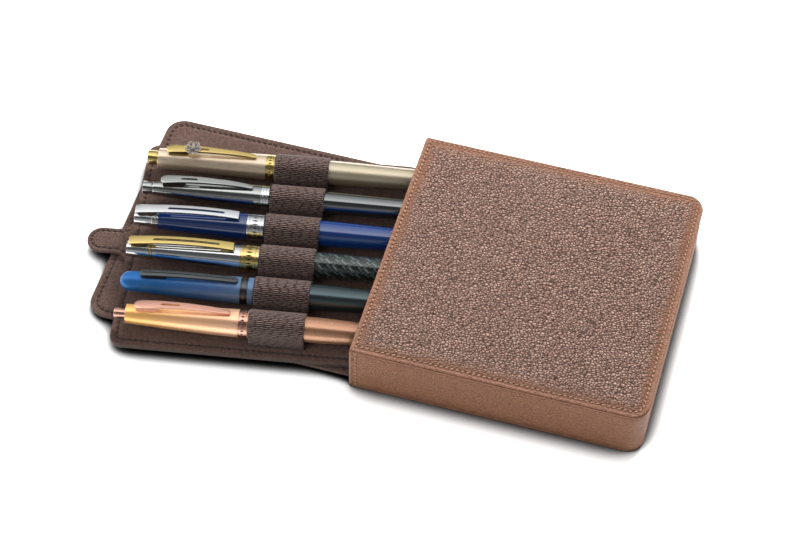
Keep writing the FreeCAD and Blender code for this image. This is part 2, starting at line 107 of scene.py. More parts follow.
def ramp(source, stops, interpolation="LINEAR"):
    made = node(source.tree, "ShaderNodeValToRGB", {0: source})
    made.color_ramp.interpolation = interpolation
    elements = made.color_ramp.elements
    while len(elements) < len(stops):
        elements.new(0.5)
    for element, (place, colour) in zip(elements, stops):
        element.position = place
        element.color = colour if isinstance(colour, tuple) else (colour, colour, colour, 1)
    return Flow(source.tree, made.outputs[0])


def blend(factor, first, second):
    made = node(factor.tree, "ShaderNodeMix", {0: factor, 6: first, 7: second},
                data_type="RGBA")
    return Flow(factor.tree, made.outputs[2])


def noiseOf(tree, vector, scale, detail=2.0, output="Fac", **more):
    made = node(tree, "ShaderNodeTexNoise",
                {"Vector": vector, "Scale": scale, "Detail": detail, **more})
    return Flow(tree, made.outputs[output])


def split(tree, vector):
    parts = node(tree, "ShaderNodeSeparateXYZ", {0: vector})
    return [Flow(tree, part) for part in parts.outputs]


def objectVector(tree):
    return node(tree, "ShaderNodeTexCoord").outputs["Object"]


def uvVector(tree, name):
    return node(tree, "ShaderNodeUVMap", uv_map=name).outputs["UV"]


def bump(height, distance=mm):
    links = {"Height": height, "Distance": distance, "Strength": 1.0}
    return node(height.tree, "ShaderNodeBump", links).outputs["Normal"]


def makeGroup(name, inputs, build):
    # build gives each output's value by its name. An input without a value is a vector.
    tree = bpy.data.node_groups.new(name, "ShaderNodeTree")
    for label, value in inputs.items():
        kind = "NodeSocketVector" if value is None else "NodeSocketFloat"
        socket = tree.interface.new_socket(label, in_out="INPUT", socket_type=kind)
        if value is not None:
            socket.default_value = value
    source = tree.nodes.new("NodeGroupInput")
    outputs = build(tree, *(Flow(tree, source.outputs[label]) for label in inputs))
    for label in outputs:
        tree.interface.new_socket(label, in_out="OUTPUT", socket_type="NodeSocketFloat")
    target = tree.nodes.new("NodeGroupOutput")
    for label, value in outputs.items():
        feed(tree, target.inputs[label], value)
    return tree


def useGroup(tree, group, inputs):
    made = node(tree, "ShaderNodeGroup", inputs, node_tree=group)
    return {socket.name: Flow(tree, socket) for socket in made.outputs}


def newMaterial(name, **values):
    material = bpy.data.materials.new(name)
    material.use_nodes = True
    tree = material.node_tree
    shader = tree.nodes["Principled BSDF"]

    def put(**values):
        for key, value in values.items():
            feed(tree, shader.inputs[key.replace("_", " ")], value)

    put(**values)
    return material, tree, put


# Grain, nap and seam that several materials share

def pebbleGrain(tree, vector, cells):
    def vectorMaths(operation, inputs):
        return node(tree, "ShaderNodeVectorMath", inputs, operation=operation).outputs[0]

    def shifted(start, scale, amount):
        waves = noiseOf(tree, start, scale, output="Color")
        lean = vectorMaths("SUBTRACT", {0: waves, 1: (0.5, 0.5, 0.5)})
        return vectorMaths("ADD", {0: start,
                                   1: vectorMaths("SCALE", {0: lean, "Scale": amount})})

    stretched = vectorMaths("MULTIPLY", {0: vector, 1: (0.76, 1.0, 1.0)})
    moved = shifted(shifted(stretched, 60.0, 0.003), cells * 0.5, 0.7 / cells)
    border = node(tree, "ShaderNodeTexVoronoi", {"Vector": moved, "Scale": cells},
                  feature="DISTANCE_TO_EDGE")
    edge = Flow(tree, border.outputs["Distance"])
    cell = node(tree, "ShaderNodeTexVoronoi", {"Vector": moved, "Scale": cells})
    away = Flow(tree, cell.outputs["Distance"])
    shade = node(tree, "ShaderNodeSeparateColor", {0: cell.outputs["Color"]})
    tint, level = (Flow(tree, shade.outputs[k]) for k in (0, 1))
    dome = 1.0 - away * away * 1.7
    groove = ramp(edge, [(0.0, 0.0), (0.14, 0.8), (0.3, 1.0)])
    wrinkle = noiseOf(tree, vector, cells * 2.2)
    height = dome + groove * 0.35 + level * 0.25 + wrinkle * 0.3
    patch = noiseOf(tree, vector, 30.0, 3.0, Roughness=0.55)
    # The creases between the pebbles are the mask of a painted shade.
    return {"Height": height * (patch * 0.7 + 0.65), "Patch": patch, "Cell": tint,
            "Crease": ramp(edge, [(0.0, 1.0), (0.2, 0.0)])}


def suedeNap(tree, vector):
    fibre = noiseOf(tree, vector, 2400.0, Roughness=0.65)
    height = fibre + noiseOf(tree, vector, 900.0, Roughness=0.6) * 0.5
    return {"Height": height, "Speckle": ramp(height / 1.5, [(0.36, 0.0), (0.64, 1.0)]),
            "Brushed": noiseOf(tree, vector, 38.0, 3.0, Distortion=0.8)}


def seamPucker(tree, uv, inset, pitch, reach):
    # U runs along the edge and V inwards from it, in millimetres. Stitches lie over whole
    # turns, so the holes are half a turn on.
    along, inward, _ = split(tree, uv)
    scaled = (inward - inset) / reach
    square = scaled * scaled
    wave = maths(tree, "COSINE", along / pitch * (2 * math.pi) + math.pi)
    # The stitch holes are the mask of a painted shade.
    return {"Height": (wave * -0.4 - 0.6) * math.e ** (square * -1.0),
            "Hole": (wave * 0.5 + 0.5) ** 3.0 * math.e ** (square * -3.5)}


grainGroup = makeGroup("pebbleGrain", {"Vector": None, "Cells per metre": 900.0},
                       pebbleGrain)
napGroup = makeGroup("suedeNap", {"Vector": None}, suedeNap)
seamGroup = makeGroup("seamPucker", {"UV": None, "Inset": 2.7, "Pitch": 2.5, "Reach": 1.0},
                      seamPucker)


def seamOf(tree, look):
    inset, pitch, reach = look["seam"]
    return useGroup(tree, seamGroup, {"UV": uvVector(tree, "seam"), "Inset": inset,
                    "Pitch": pitch, "Reach": reach})


def makeLeather(name, look):
    material, tree, put = newMaterial(name, Sheen_Weight=look["sheen"],
                                      Sheen_Roughness=0.45, Specular_IOR_Level=0.5)
    grain = useGroup(tree, grainGroup, {"Vector": objectVector(tree),
                     "Cells per metre": look["cells"]})
    tint = blend(ramp(grain["Patch"], [(0.3, 0.0), (0.7, 1.0)]), look["dark"],
                 look["light"])
    tint = blend(grain["Cell"] * look["cellTone"], tint, look["pale"])
    height = grain["Height"] * look["depth"]
    # The creases between the pebbles take a painted shade, this dark.
    lines = grain["Crease"] * look["creaseShadeTone"]
    rough = look["rough"]
    if "seam" in look:
        seam = seamOf(tree, look)
        edge = split(tree, uvVector(tree, "seam"))[1]
        drift = (grain["Patch"] * 5.0 - 2.5) * ramp(edge / 10.0, [(0.1, 0.0), (0.5, 1.0)])
        place = (edge + drift) / 16.0
        worn = ramp(place, [(0.0, 0.1), (0.07, 0.7), (0.16, 0.9), (0.26, 0.75), (0.4, 0.3),
                    (0.62, 0.0)], "EASE")
        rim = ramp(edge, [(0.3, 0.9), (1.0, 0.0)])
        # V below zero is the groove between the plies, which takes a painted shade.
        groove = ramp(edge * -1.0, [(0.05, 0.0), (0.5, 0.9)])
        # The pressed edge carries little grain and little shine.
        calm = ramp(place, [(0.0, 0.95), (0.2, 0.8), (0.4, 0.3), (0.65, 0.0)], "EASE")
        # The stitch holes and the groove, like the creases, take painted shade in this tint.
        for factor, colour in ((worn, "edge"), (rim, "rim"), (lines * (1.0 - calm), "crease"),
                               (seam["Hole"] * 0.85, "hole"), (groove, "groove")):
            tint = blend(factor, tint, look[colour])
        height = height * (1.0 - calm * 0.85) + seam["Height"] * look["pucker"]
        put(Roughness=ramp(calm, [(0.0, rough), (0.8, rough + 0.14)]),
            Specular_IOR_Level=ramp(calm, [(0.0, 0.5), (0.9, 0.25)]) * (1.0 - groove))
    else:
        # Painted shade in the creases between the pebbles.
        tint = blend(lines, tint, look["crease"])
        put(Roughness=ramp(grain["Patch"], [(0.25, rough - 0.05), (0.75, rough + 0.06)]))
    put(Base_Color=tint, Normal=bump(height))
    return material


def makeSuede(name, look):
    material, tree, put = newMaterial(name, Sheen_Weight=look["sheen"],
                                      Sheen_Roughness=0.5, Sheen_Tint=look["light"],
                                      Roughness=0.92, Specular_IOR_Level=0.15)
    nap = useGroup(tree, napGroup, {"Vector": objectVector(tree)})
    tint = blend(nap["Speckle"], look["dark"], look["light"])
    tint = blend(ramp(nap["Brushed"], [(0.35, 0.0), (0.65, 1.0)]) * 0.35, tint,
                 look["pale"])
    height = nap["Height"] * look["depth"]
    if "seam" in look:
        seam = seamOf(tree, look)
        # Painted shade in the stitch holes.
        tint = blend(seam["Hole"], tint, look["hole"])
        height = height + seam["Height"] * look["pucker"]
    put(Base_Color=tint, Normal=bump(height))
    return material


def makeElastic(name, look):
    # UV U runs round the loops and V along the pens, in millimetres.
    material, tree, put = newMaterial(name, Sheen_Weight=0.1, Sheen_Roughness=0.5,
                                      Roughness=0.75, Specular_IOR_Level=0.25)
    vector = uvVector(tree, "seam")
    around, along, _ = split(tree, vector)
    sway = noiseOf(tree, vector, 0.45)
    row = around / look["rowPitch"] + (sway * 0.8 - 0.4)
    ridge = maths(tree, "SINE", maths(tree, "FRACT", row) * math.pi)
    # Each row's dashes start at a place of their own.
    start = node(tree, "ShaderNodeTexWhiteNoise", {"W": maths(tree, "FLOOR", row)},
                 noise_dimensions="1D")
    place = along / look["dash"] + Flow(tree, start.outputs["Value"]) * 9.0 + sway * 0.8
    dash = ramp(maths(tree, "FRACT", place), [(0.0, 0.4), (0.2, 1.0), (0.8, 1.0),
                (1.0, 0.4)])
    cord = ridge ** 3.4 * dash
    knit = noiseOf(tree, vector, 5.0)
    # The rib tops are painted lighter and the gaps between them darker, a painted highlight
    # and painted shade that follow the ribs' bump.
    tint = blend(ramp(cord, [(0.3, 0.0), (0.9, 1.0)]), look["dark"], look["light"])
    tint = blend(ramp(knit, [(0.45, 0.0), (0.75, 0.35)]), tint, look["dark"])
    put(Base_Color=tint, Normal=bump(cord * 0.4 + knit * 0.08))
    return material


def makeSpeckled(name, first, second, scale, detail=2.0, **values):
    # Thread and board: two tones in fine noise.
    material, tree, put = newMaterial(name, **values)
    put(Base_Color=blend(noiseOf(tree, objectVector(tree), scale, detail), first, second))
    return material


def smudges(tree):
    return noiseOf(tree, objectVector(tree), 90.0, 4.0)


def satinBump(tree, scale, depth):
    return bump(noiseOf(tree, objectVector(tree), scale), depth * mm)


def makeMetal(name, colour, rough, satin=0.0):
    material, tree, put = newMaterial(name, Metallic=1.0)
    smudge = smudges(tree)
    deep = tuple(value * 0.86 for value in colour[:3]) + (1.0,)
    put(Base_Color=blend(smudge, colour, deep),
        Roughness=ramp(smudge, [(0.3, rough), (0.75, rough + 0.05)]))
    if satin:
        put(Normal=satinBump(tree, 4200.0, satin))
    return material


def makeLacquer(name, look):
    # Stops are along the pen in millimetres, from its outer end.
    look = {"metallic": 0.0, "coat": 1.0, "ior": 1.5, "flake": 0.1, "grit": 0.0, **look}
    material, tree, put = newMaterial(name, Metallic=look["metallic"], Coat_IOR=look["ior"],
                                      Coat_Weight=look["coat"], Coat_Roughness=0.04)
    tint = ramp(split(tree, uvVector(tree, "turn"))[1],
                [(at / turnLength, colour) for at, colour in look["stops"]])
    flake = node(tree, "ShaderNodeTexVoronoi", {"Vector": objectVector(tree),
                 "Scale": 9000.0})
    glint = ramp(Flow(tree, flake.outputs["Distance"]), [(0.2, 1.0), (0.6, 0.0)])
    put(Base_Color=blend(glint * look["flake"], tint, look["flakeTone"]),
        Roughness=ramp(smudges(tree), [(0.3, look["rough"]), (0.8, look["rough"] + 0.06)]))
    if look["grit"]:
        put(Normal=satinBump(tree, 3600.0, look["grit"]))
    return material


def makeGuilloche(name, look):
    # Hatched diamonds cut under clear lacquer, from UV turns and length.
    material, tree, put = newMaterial(name, Metallic=0.55, Roughness=0.3,
                                      Coat_Weight=1.0, Coat_Roughness=0.05)
    turns, length, _ = split(tree, uvVector(tree, "turn"))
    across, along = turns * look["across"], length * look["along"]
    diagonals = (across + along, across - along)
    halves = [maths(tree, "FRACT", line * 0.5) for line in diagonals]
    checks = [maths(tree, "GREATER_THAN", half, 0.5) for half in halves]
    flip = maths(tree, "ABSOLUTE", checks[0] - checks[1])
    hatches = [maths(tree, "SINE", line * (2 * math.pi * look["hatch"]))
               for line in diagonals]
    mixed = node(tree, "ShaderNodeMix", {0: flip, 2: hatches[0], 3: hatches[1]})
    lines = Flow(tree, mixed.outputs[0]) * 0.5 + 0.5
    # Every other diamond is painted darker and each band is graded from dark to light across:
    # painted shade on the cut facets.
    shade = lines * (flip * -0.55 + 1.0) * (halves[0] * 0.9 + 0.1)
    put(Base_Color=blend(shade, look["dark"], look["light"]), Normal=bump(shade, 0.00025))
    return material


def makeBand(name, colour, dark, ticks, low, high):
    # A generic engraved ring: a row of short ticks filled with dark enamel.
    material, tree, put = newMaterial(name, Metallic=1.0, Roughness=0.16)
    turns, length, _ = split(tree, uvVector(tree, "turn"))
    along = (length - low / turnLength) / ((high - low) / turnLength)
    tent = maths(tree, "ABSOLUTE", maths(tree, "FRACT", turns * ticks) - 0.5)
    diamond = tent * 1.6 + maths(tree, "ABSOLUTE", along - 0.5)
    mark = ramp(diamond, [(0.36, 1.0), (0.42, 0.0)])
    put(Base_Color=blend(mark, colour, dark), Normal=bump(mark, -0.00008))
    return material


# Mesh helpers

def run(start, end, steps, chosen=None):
    # Points on a straight line, at each step or at the chosen ones.
    return [tuple(a + (b - a) * k / steps for a, b in zip(start, end))
            for k in chosen or range(steps + 1)]


def arc(centre, radius, start, sweep, steps, chosen=None):
    # Points on an arc, its angles in degrees.
    angles = [math.radians(start + sweep * k / steps) for k in chosen or range(steps + 1)]
    return [(centre[0] + radius * math.cos(t), centre[1] + radius * math.sin(t))
            for t in angles]


def bell(value, centre, width):
    return math.exp(-((value - centre) / width) ** 2)


def lengthsOf(points):
    lengths, total = [0.0], 0.0
    for first, second in zip(points, points[1:]):
        total += math.dist(first, second)
        lengths.append(total)
    return lengths


def gridFaces(rows, columns, closed=True, joined=False, start=0):
    # closed joins the ends of each row, joined the last row to the first.
    faces = []
    for row in range(rows if joined else rows - 1):
        below, above = start + row * columns, start + (row + 1) % rows * columns
        for k in range(columns if closed else columns - 1):
            n = (k + 1) % columns
            faces.append((below + k, below + n, above + n, above + k))
    return faces


def endFaces(rows, columns):
    return [tuple(reversed(range(columns))),
            tuple(range((rows - 1) * columns, rows * columns))]


def shellFaces(rows, columns):
    # Two open grids, one behind the other, joined along all four edges.
    block = rows * columns
    faces = gridFaces(rows, columns, closed=False)
    faces += gridFaces(rows, columns, closed=False, start=block)
    for start, step, count in ((0, 1, columns), (block - columns, 1, columns),
                               (0, columns, rows), (columns - 1, columns, rows)):
        for k in range(count - 1):
            a, b = start + k * step, start + (k + 1) * step
            faces.append((a, b, block + b, block + a))
    return faces


def linkObject(name, mesh):
    made = bpy.data.objects.new(name, mesh)
    bpy.context.scene.collection.objects.link(made)
    return made


def fromWork(name, work, smooth=True):
    mesh = bpy.data.meshes.new(name)
    work.to_mesh(mesh)
    work.free()
    for face in mesh.polygons:
        face.use_smooth = smooth
    return linkObject(name, mesh)


def addMesh(name, verts, faces, uvs, layerName="seam"):
    mesh = bpy.data.meshes.new(name)
    mesh.from_pydata([tuple(v) for v in verts], [], faces)
    layer = mesh.uv_layers.new(name=layerName)
    for loop in mesh.loops:
        layer.data[loop.index].uv = uvs[loop.vertex_index]
    work = bmesh.new()
    work.from_mesh(mesh)
    bpy.data.meshes.remove(mesh)
    bmesh.ops.recalc_face_normals(work, faces=work.faces)
    return fromWork(name, work)


def closeTurn(made, layerName, length):
    # The last column of faces ends at the full length, not at zero.
    layer = made.data.uv_layers[layerName].data
    for face in made.data.polygons:
        loops = face.loop_indices
        places = [layer[k].uv.x for k in loops]
        if len(loops) == 4 and max(places) - min(places) > length / 2:
            for k in loops:
                if layer[k].uv.x < length / 2:
                    layer[k].uv.x += length
    return made


def finishPiece(made, material, body, slot, *nodes):
    made.data.materials.clear()
    made.data.materials.append(material)
    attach(made, body)
    if nodes:
        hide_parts(*nodes)
    return made


def settle(made):
    # Turns what the modifiers give into the object's own mesh.
    graph = bpy.context.evaluated_depsgraph_get()
    mesh = bpy.data.meshes.new_from_object(made.evaluated_get(graph))
    made.modifiers.clear()
    made.data = mesh
    for face in mesh.polygons:
        face.use_smooth = True


def cornerRing(spec, inset):
    # Points (x, y) round a rounded rectangle, the same number for every inset.
    low, high = spec["x"][0] + inset, spec["x"][1] - inset
    side = spec["halfY"] - inset
    a, b = (max(radius - inset, 0.02) for radius in spec["radii"])
    nx, ny = spec["counts"]
    points = []
    for start, end, count, centre, radius, angle in (
            ((low + a, -side), (high - b, -side), nx, (high - b, b - side), b, -90),
            ((high, b - side), (high, side - b), ny, (high - b, side - b), b, 0),
            ((high - b, side), (low + a, side), nx, (low + a, side - a), a, 90),
            ((low, side - a), (low, a - side), ny, (low + a, a - side), a, 180)):
        points += run(start, end, count, range(count))
        points += arc(centre, radius, angle, 90, 9, range(9))
    return points


def seamPitch(spec):
    # The nearest pitch that fits a whole number of stitches round the seam.
    ring = cornerRing(spec, spec["seam"][0])
    total = lengthsOf(ring + ring[:1])[-1]
    return total / round(total / spec["seam"][1])


def panel(name, spec, rings, place, sag=None):
    # rings: (inset, z) from the middle of the underside, out round the edge, to the top.
    # A third value replaces the inset in V; below zero it marks the groove of the edge.
    # U counts along the seam, in the material's own pitch.
    outer = cornerRing(spec, spec["seam"][0] if "seam" in spec else 0)
    stretch = spec["seam"][1] / seamPitch(spec) if "seam" in spec else 1.0
    lengths = [length * stretch for length in lengthsOf(outer + outer[:1])]
    verts, uvs = [], []
    for inset, z, *mark in rings:
        for (x, y), u in zip(cornerRing(spec, inset), lengths):
            verts.append(place(x, y, z + (sag(x, y, inset, z) if sag else 0.0)))
            uvs.append((u, mark[0] if mark else inset))
    size = (len(rings), len(outer))
    made = addMesh(name, verts, gridFaces(*size) + endFaces(*size), uvs)
    return closeTurn(made, "seam", lengths[-1])


def edgeRings(bottom, top, fillet, inner, rise=lambda inset: 0.0, steps=14):
    # Rings for a panel with rounded edges. rise gives the top's extra height at an inset.
    quarter = [math.radians(90 * k / 5) for k in range(1, 6)]
    rings = [(inner, bottom), (fillet, bottom)]
    rings += [(fillet * (1 - math.sin(t)), bottom + fillet * (1 - math.cos(t)))
              for t in quarter[:4]]
    rings.append((0, bottom + fillet))
    if top - bottom > 2 * fillet + 0.05:
        rings.append((0, top - fillet))
    for t in quarter:
        inset = fillet * (1 - math.cos(t))
        rings.append((inset, top - fillet * (1 - math.sin(t)) + rise(inset)))
    for k in range(steps):
        inset = fillet + (inner - fillet) * ((k + 1) / steps) ** 1.8
        rings.append((inset, top + rise(inset)))
    return rings


# Stitches, laid along a line by one node group

def makeStitchTree():
    tree = bpy.data.node_groups.new("stitchRow", "GeometryNodeTree")
    for label, kind, direction in (
            ("Line", "Geometry", "INPUT"), ("Pitch", "Float", "INPUT"),
            ("Length", "Float", "INPUT"), ("Thickness", "Float", "INPUT"),
            ("Slant", "Float", "INPUT"), ("Thread", "Material", "INPUT"),
            ("Stitches", "Geometry", "OUTPUT")):
        tree.interface.new_socket(label, in_out=direction, socket_type="NodeSocket" + kind)
    source, target = tree.nodes.new("NodeGroupInput"), tree.nodes.new("NodeGroupOutput")
    given = source.outputs

    def step(kind, inputs=None, **values):
        return node(tree, kind, inputs, **values).outputs[0]

    curve = step("GeometryNodeMeshToCurve", {0: given["Line"]})
    even = step("GeometryNodeResampleCurve", {"Curve": curve, "Length": given["Pitch"]},
                mode="LENGTH")
    thread = step("GeometryNodeMeshUVSphere", {"Segments": 8, "Rings": 6, "Radius": 0.5})
    size = step("ShaderNodeCombineXYZ", {0: given["Length"], 1: given["Thickness"],
                2: given["Thickness"]})
    shaped = step("GeometryNodeTransform", {"Geometry": thread, "Scale": size})
    upward = node(tree, "GeometryNodeInputNamedAttribute", {"Name": "up"},
                  data_type="FLOAT_VECTOR").outputs["Attribute"]
    along = step("FunctionNodeAlignRotationToVector",
                 {"Vector": step("GeometryNodeInputTangent")}, axis="X")
    stand = step("FunctionNodeAlignRotationToVector", {"Rotation": along, "Vector": upward},
                 axis="Z", pivot_axis="X")
    slant = step("FunctionNodeAxisAngleToRotation", {"Axis": (0.0, 0.0, 1.0),
                 "Angle": given["Slant"]})
    turned = step("FunctionNodeRotateRotation", {0: stand, 1: slant},
                  rotation_space="LOCAL")
    laid = step("GeometryNodeInstanceOnPoints", {"Points": even, "Instance": shaped,
                "Rotation": turned})
    real = step("GeometryNodeRealizeInstances", {0: laid})
    dyed = step("GeometryNodeSetMaterial", {"Geometry": real, "Material": given["Thread"]})
    tree.links.new(dyed, target.inputs[0])
    return tree


stitchTree = makeStitchTree()


def stitches(name, lines, look, thread, body, slot):
    # lines: lists of (point, up); a closed line repeats its first point.
    verts, ups, edges = [], [], []
    for line in lines:
        start = len(verts)
        closed = (line[0][0] - line[-1][0]).length < 1e-6
        used = line[:-1] if closed else line
        verts += [tuple(point) for point, up in used]
        ups += [tuple(up) for point, up in used]
        edges += [(start + k, start + k + 1) for k in range(len(used) - 1)]
        if closed:
            edges.append((len(verts) - 1, start))
    mesh = bpy.data.meshes.new(name)
    mesh.from_pydata(verts, edges, [])
    attribute = mesh.attributes.new("up", "FLOAT_VECTOR", "POINT")
    for item, up in zip(attribute.data, ups):
        item.vector = up
    made = linkObject(name, mesh)
    modifier = made.modifiers.new("stitches", "NODES")
    modifier.node_group = stitchTree
    values = {"Pitch": look["pitch"] * mm, "Length": look["length"] * mm,
              "Thickness": look["thickness"] * mm, "Slant": look["slant"], "Thread": thread}
    for item in stitchTree.interface.items_tree:
        if item.in_out == "INPUT" and item.name in values:
            modifier[item.identifier] = values[item.name]
    settle(made)
    finishPiece(made, thread, body, slot)


def ringStitches(name, spec, z, place, look, thread, body, slot, up=(0, 0, 1)):
    # The seam round a panel, in a whole number of stitches.
    line = [(place(x, y, z), up) for x, y in cornerRing(spec, spec["seam"][0])]
    look = dict(look, pitch=seamPitch(spec) * 0.99999)
    stitches(name, [line + line[:1]], look, thread, body, slot)


# Leathers, cloths and threads

# crease, hole and groove are the tones of painted shade: in the creases between the pebbles,
# in the stitch holes and in the groove between the plies.
caseLook = {
    "light": tone(162, 127, 112), "dark": tone(144, 111, 97), "pale": tone(204, 171, 156),
    "edge": tone(122, 83, 62), "rim": tone(142, 98, 74), "crease": tone(44, 27, 20),
    "hole": tone(30, 17, 12), "groove": tone(36, 20, 13), "cellTone": 0.5,
    "creaseShadeTone": 0.85, "cells": 880.0, "depth": 1.25, "pucker": 0.35, "sheen": 0.0,
    "rough": 0.42,
}
topLeather = makeLeather("pebbledLeather", dict(caseLook, seam=(2.7, 2.5, 1.0)))
bandLook = dict(caseLook, light=tone(142, 95, 66), dark=tone(132, 86, 59),
                pale=tone(164, 114, 84), crease=tone(96, 58, 38), creaseShadeTone=0.3,
                cells=1100.0, depth=0.44, rough=0.52, cellTone=0.45)
bandLeather = makeLeather("smoothLeather", bandLook)
trimLeather = makeLeather("turnedEdgeLeather", dict(bandLook, light=tone(160, 116, 88),
                          dark=tone(148, 104, 78), pale=tone(176, 134, 106)))
backLeather = makeLeather("backingLeather", dict(caseLook, light=tone(66, 48, 41),
                          dark=tone(54, 38, 32), pale=tone(78, 58, 50), cells=1200.0,
                          depth=0.2))
# hole is the tone of the painted shade in the stitch holes.
liningLook = {
    "light": tone(118, 96, 88), "dark": tone(50, 37, 33), "pale": tone(106, 86, 78),
    "hole": tone(44, 31, 28), "depth": 0.6, "sheen": 0.25, "pucker": 0.8,
}
suede = makeSuede("brownSuede", dict(liningLook, seam=(3.2, 2.9, 0.9)))
liningSuede = makeSuede("liningSuede", liningLook)
elastic = makeElastic("ribbedElastic", {"rowPitch": 0.92, "dash": 4.3,
                      "light": tone(146, 122, 113), "dark": tone(34, 22, 20)})
tanThread = makeSpeckled("tanThread", tone(180, 144, 120), tone(138, 102, 80), 1800.0,
                         Roughness=0.55, Sheen_Weight=0.3)
darkThread = makeSpeckled("darkThread", tone(40, 28, 25), tone(20, 14, 12), 1800.0,
                          Roughness=0.6, Sheen_Weight=0.05)
boardCard = makeSpeckled("rawBoard", tone(92, 82, 74), tone(150, 138, 124), 900.0, 4.0,
                         Roughness=0.85)

# Sleeve

sleeve = {"x": (-69.0, 69.0), "halfY": 66.5, "radii": (1.5, 8.0), "counts": (110, 104),
          "seam": (2.7, 2.5)}
inside = {"x": (-68.1, 66.9), "halfY": 64.4, "radii": (0.5, 6.0), "counts": (60, 60)}
under = dict(sleeve, x=(-68.7, 68.45), halfY=65.95)
sizes = {"baseTop": 1.0, "floorLow": 2.0, "floor": 2.3, "roof": 26.2, "bandLow": 0.5,
         "bandHigh": 26.5, "edgeTop": 28.5, "overhang": 0.7, "band": 0.8, "lining": 0.5,
         "middle": 60.0, "bulge": 0.3}
crown = {"height": 1.1, "flat": 1.5, "reach": 11.0, "dip": 0.2, "dipWidth": 0.8,
         "sag": 0.22, "middle": 64.0, "fillet": 0.6}


def roofRise(inset):
    # Flat to the seam, a dip under the thread, then the padded crown.
    def rising(reach):
        return 1 - math.exp(-reach / crown["reach"])
    height = crown["height"] * rising(max(inset - crown["flat"], 0.0))
    dip = crown["dip"] * bell(inset, sleeve["seam"][0], crown["dipWidth"])
    return height / rising(sizes["middle"]) - dip


def roofSag(x, y, inset, z):
    if z < sizes["edgeTop"] - 0.1 or inset < 4:
        return 0.0
    fade = min((inset - 4) / 10, 1.0)
    return fade * crown["sag"] * noise.noise((x * 0.045, y * 0.045, 3.0))


# Two plies at the roof's edge: (inset, height over the band, V). V below zero is the groove.
plies = [(crown["middle"], 0.0), (0.5, 0.0, -0.3), (0.15, 0.06, 0.0), (0.0, 0.22),
         (0.0, 0.72), (0.1, 0.86), (0.28, 0.93), (0.58, 0.93, 0.0), (0.66, 0.9, -0.7),
         (0.82, 0.93, -1.0), (0.82, 1.1, -1.0), (0.66, 1.13, -0.7), (0.52, 1.18, 0.0),
         (0.42, 1.3), (0.38, 1.42)]
rings = [(inset, sizes["bandHigh"] + z, *mark) for inset, z, *mark in plies]
# The upper ply stands a little behind the lower one.
upper = edgeRings(sizes["bandHigh"] + 1.0, sizes["edgeTop"], crown["fillet"],
                  crown["middle"], roofRise, 30)
rings += [(inset + 0.38 * math.exp(-inset), z) for inset, z in upper[7:]]
roof = panel("sleeveTop", sleeve, rings, sleevePoint, roofSag)
finishPiece(roof, topLeather, "sleeve", "sleeve_leather", "sleeve_top_leather")

for name, spec, low, high, fillet, material, slot, nodeName in (
        ("sleeveUnderside", under, 0, sizes["baseTop"], 0.35, topLeather, "sleeve_leather",
         "sleeve_base_leather"),
        ("sleeveFloorLining", inside, sizes["floorLow"], sizes["floor"], 0.1, liningSuede,
         "lining", "sleeve_base_lining"),
        ("sleeveRoofLining", inside, sizes["roof"], sizes["bandHigh"], 0.1, liningSuede,
         "lining", "sleeve_top_lining")):
    sheet = panel(name, spec, edgeRings(low, high, fillet, sizes["middle"]), sleevePoint)
    finishPiece(sheet, material, "sleeve", slot, nodeName)

seamLook = {"pitch": 2.5, "length": 1.8, "thickness": 0.72, "slant": 0.2}
ringStitches("sleeveTopStitches", sleeve, sizes["edgeTop"] + roofRise(2.7) + 0.14,
             sleevePoint, seamLook, tanThread, "sleeve", "sleeve_leather")
ringStitches("sleeveUnderStitches", under, 0.12, sleevePoint, seamLook, tanThread,
             "sleeve", "sleeve_leather", (0, 0, -1))


# The strip's (start, size) along each axis, and its seam
mouth = {"x": (-69.0, 1.2), "y": (64.6, 1.62), "z": (2.0, 24.5), "bevel": 0.3,
         "seamX": -65.9, "seamY": 66.1, "seamLow": 2.8, "seamHigh": 25.8}


def wallPath(inset):
    # From the mouth along the front, round the closed end and back to the mouth.
    low, high = sleeve["x"][0], sleeve["x"][1] - inset
    side, corner = sleeve["halfY"] - inset, sleeve["radii"][1] - inset
    bend, flat = high - corner, side - corner
    return (run((low, -side), (bend, -side), 120)
            + arc((bend, -flat), corner, -90, 90, 12, range(1, 12))
            + run((high, -flat), (high, flat), 60)
            + arc((bend, flat), corner, 0, 90, 12, range(1, 12))
            + run((bend, side), (low, side), 120))


def wall(name, inset, thickness, low, high, bulge):
    outer, inner = wallPath(inset), wallPath(inset + thickness)
    lengths, levels = lengthsOf(outer), 12
    verts, uvs = [], []
    for path, swell in ((outer, bulge), (inner, 0.0)):
        for level in range(levels + 1):
            t = level / levels
            z = low + (high - low) * t
            for index, (x, y) in enumerate(path):
                nx, ny = x - inner[index][0], y - inner[index][1]
                size = math.hypot(nx, ny) or 1.0
                ripple = 1 + 0.6 * noise.noise((x * 0.06, y * 0.06, z * 0.08))
                # The seam at the mouth holds the band down.
                held = 1 - bell(x, mouth["seamX"], 1.6)
                push = swell * (1 - (2 * t - 1) ** 4) * ripple * held / size
                verts.append(sleevePoint(x + nx * push, y + ny * push, z))
                uvs.append((lengths[index], z - low))
    return addMesh(name, verts, shellFaces(levels + 1, len(outer)), uvs)


band = wall("sleeveSideBand", sizes["overhang"], sizes["band"], sizes["bandLow"],
            sizes["bandHigh"] + 0.1, sizes["bulge"])
finishPiece(band, bandLeather, "sleeve", "side_leather", "sleeve_side_band")
sideLining = wall("sleeveSideLining", sizes["overhang"] + sizes["band"], sizes["lining"],
                  sizes["floorLow"], sizes["bandHigh"], 0.0)
finishPiece(sideLining, liningSuede, "sleeve", "lining", "sleeve_side_lining")

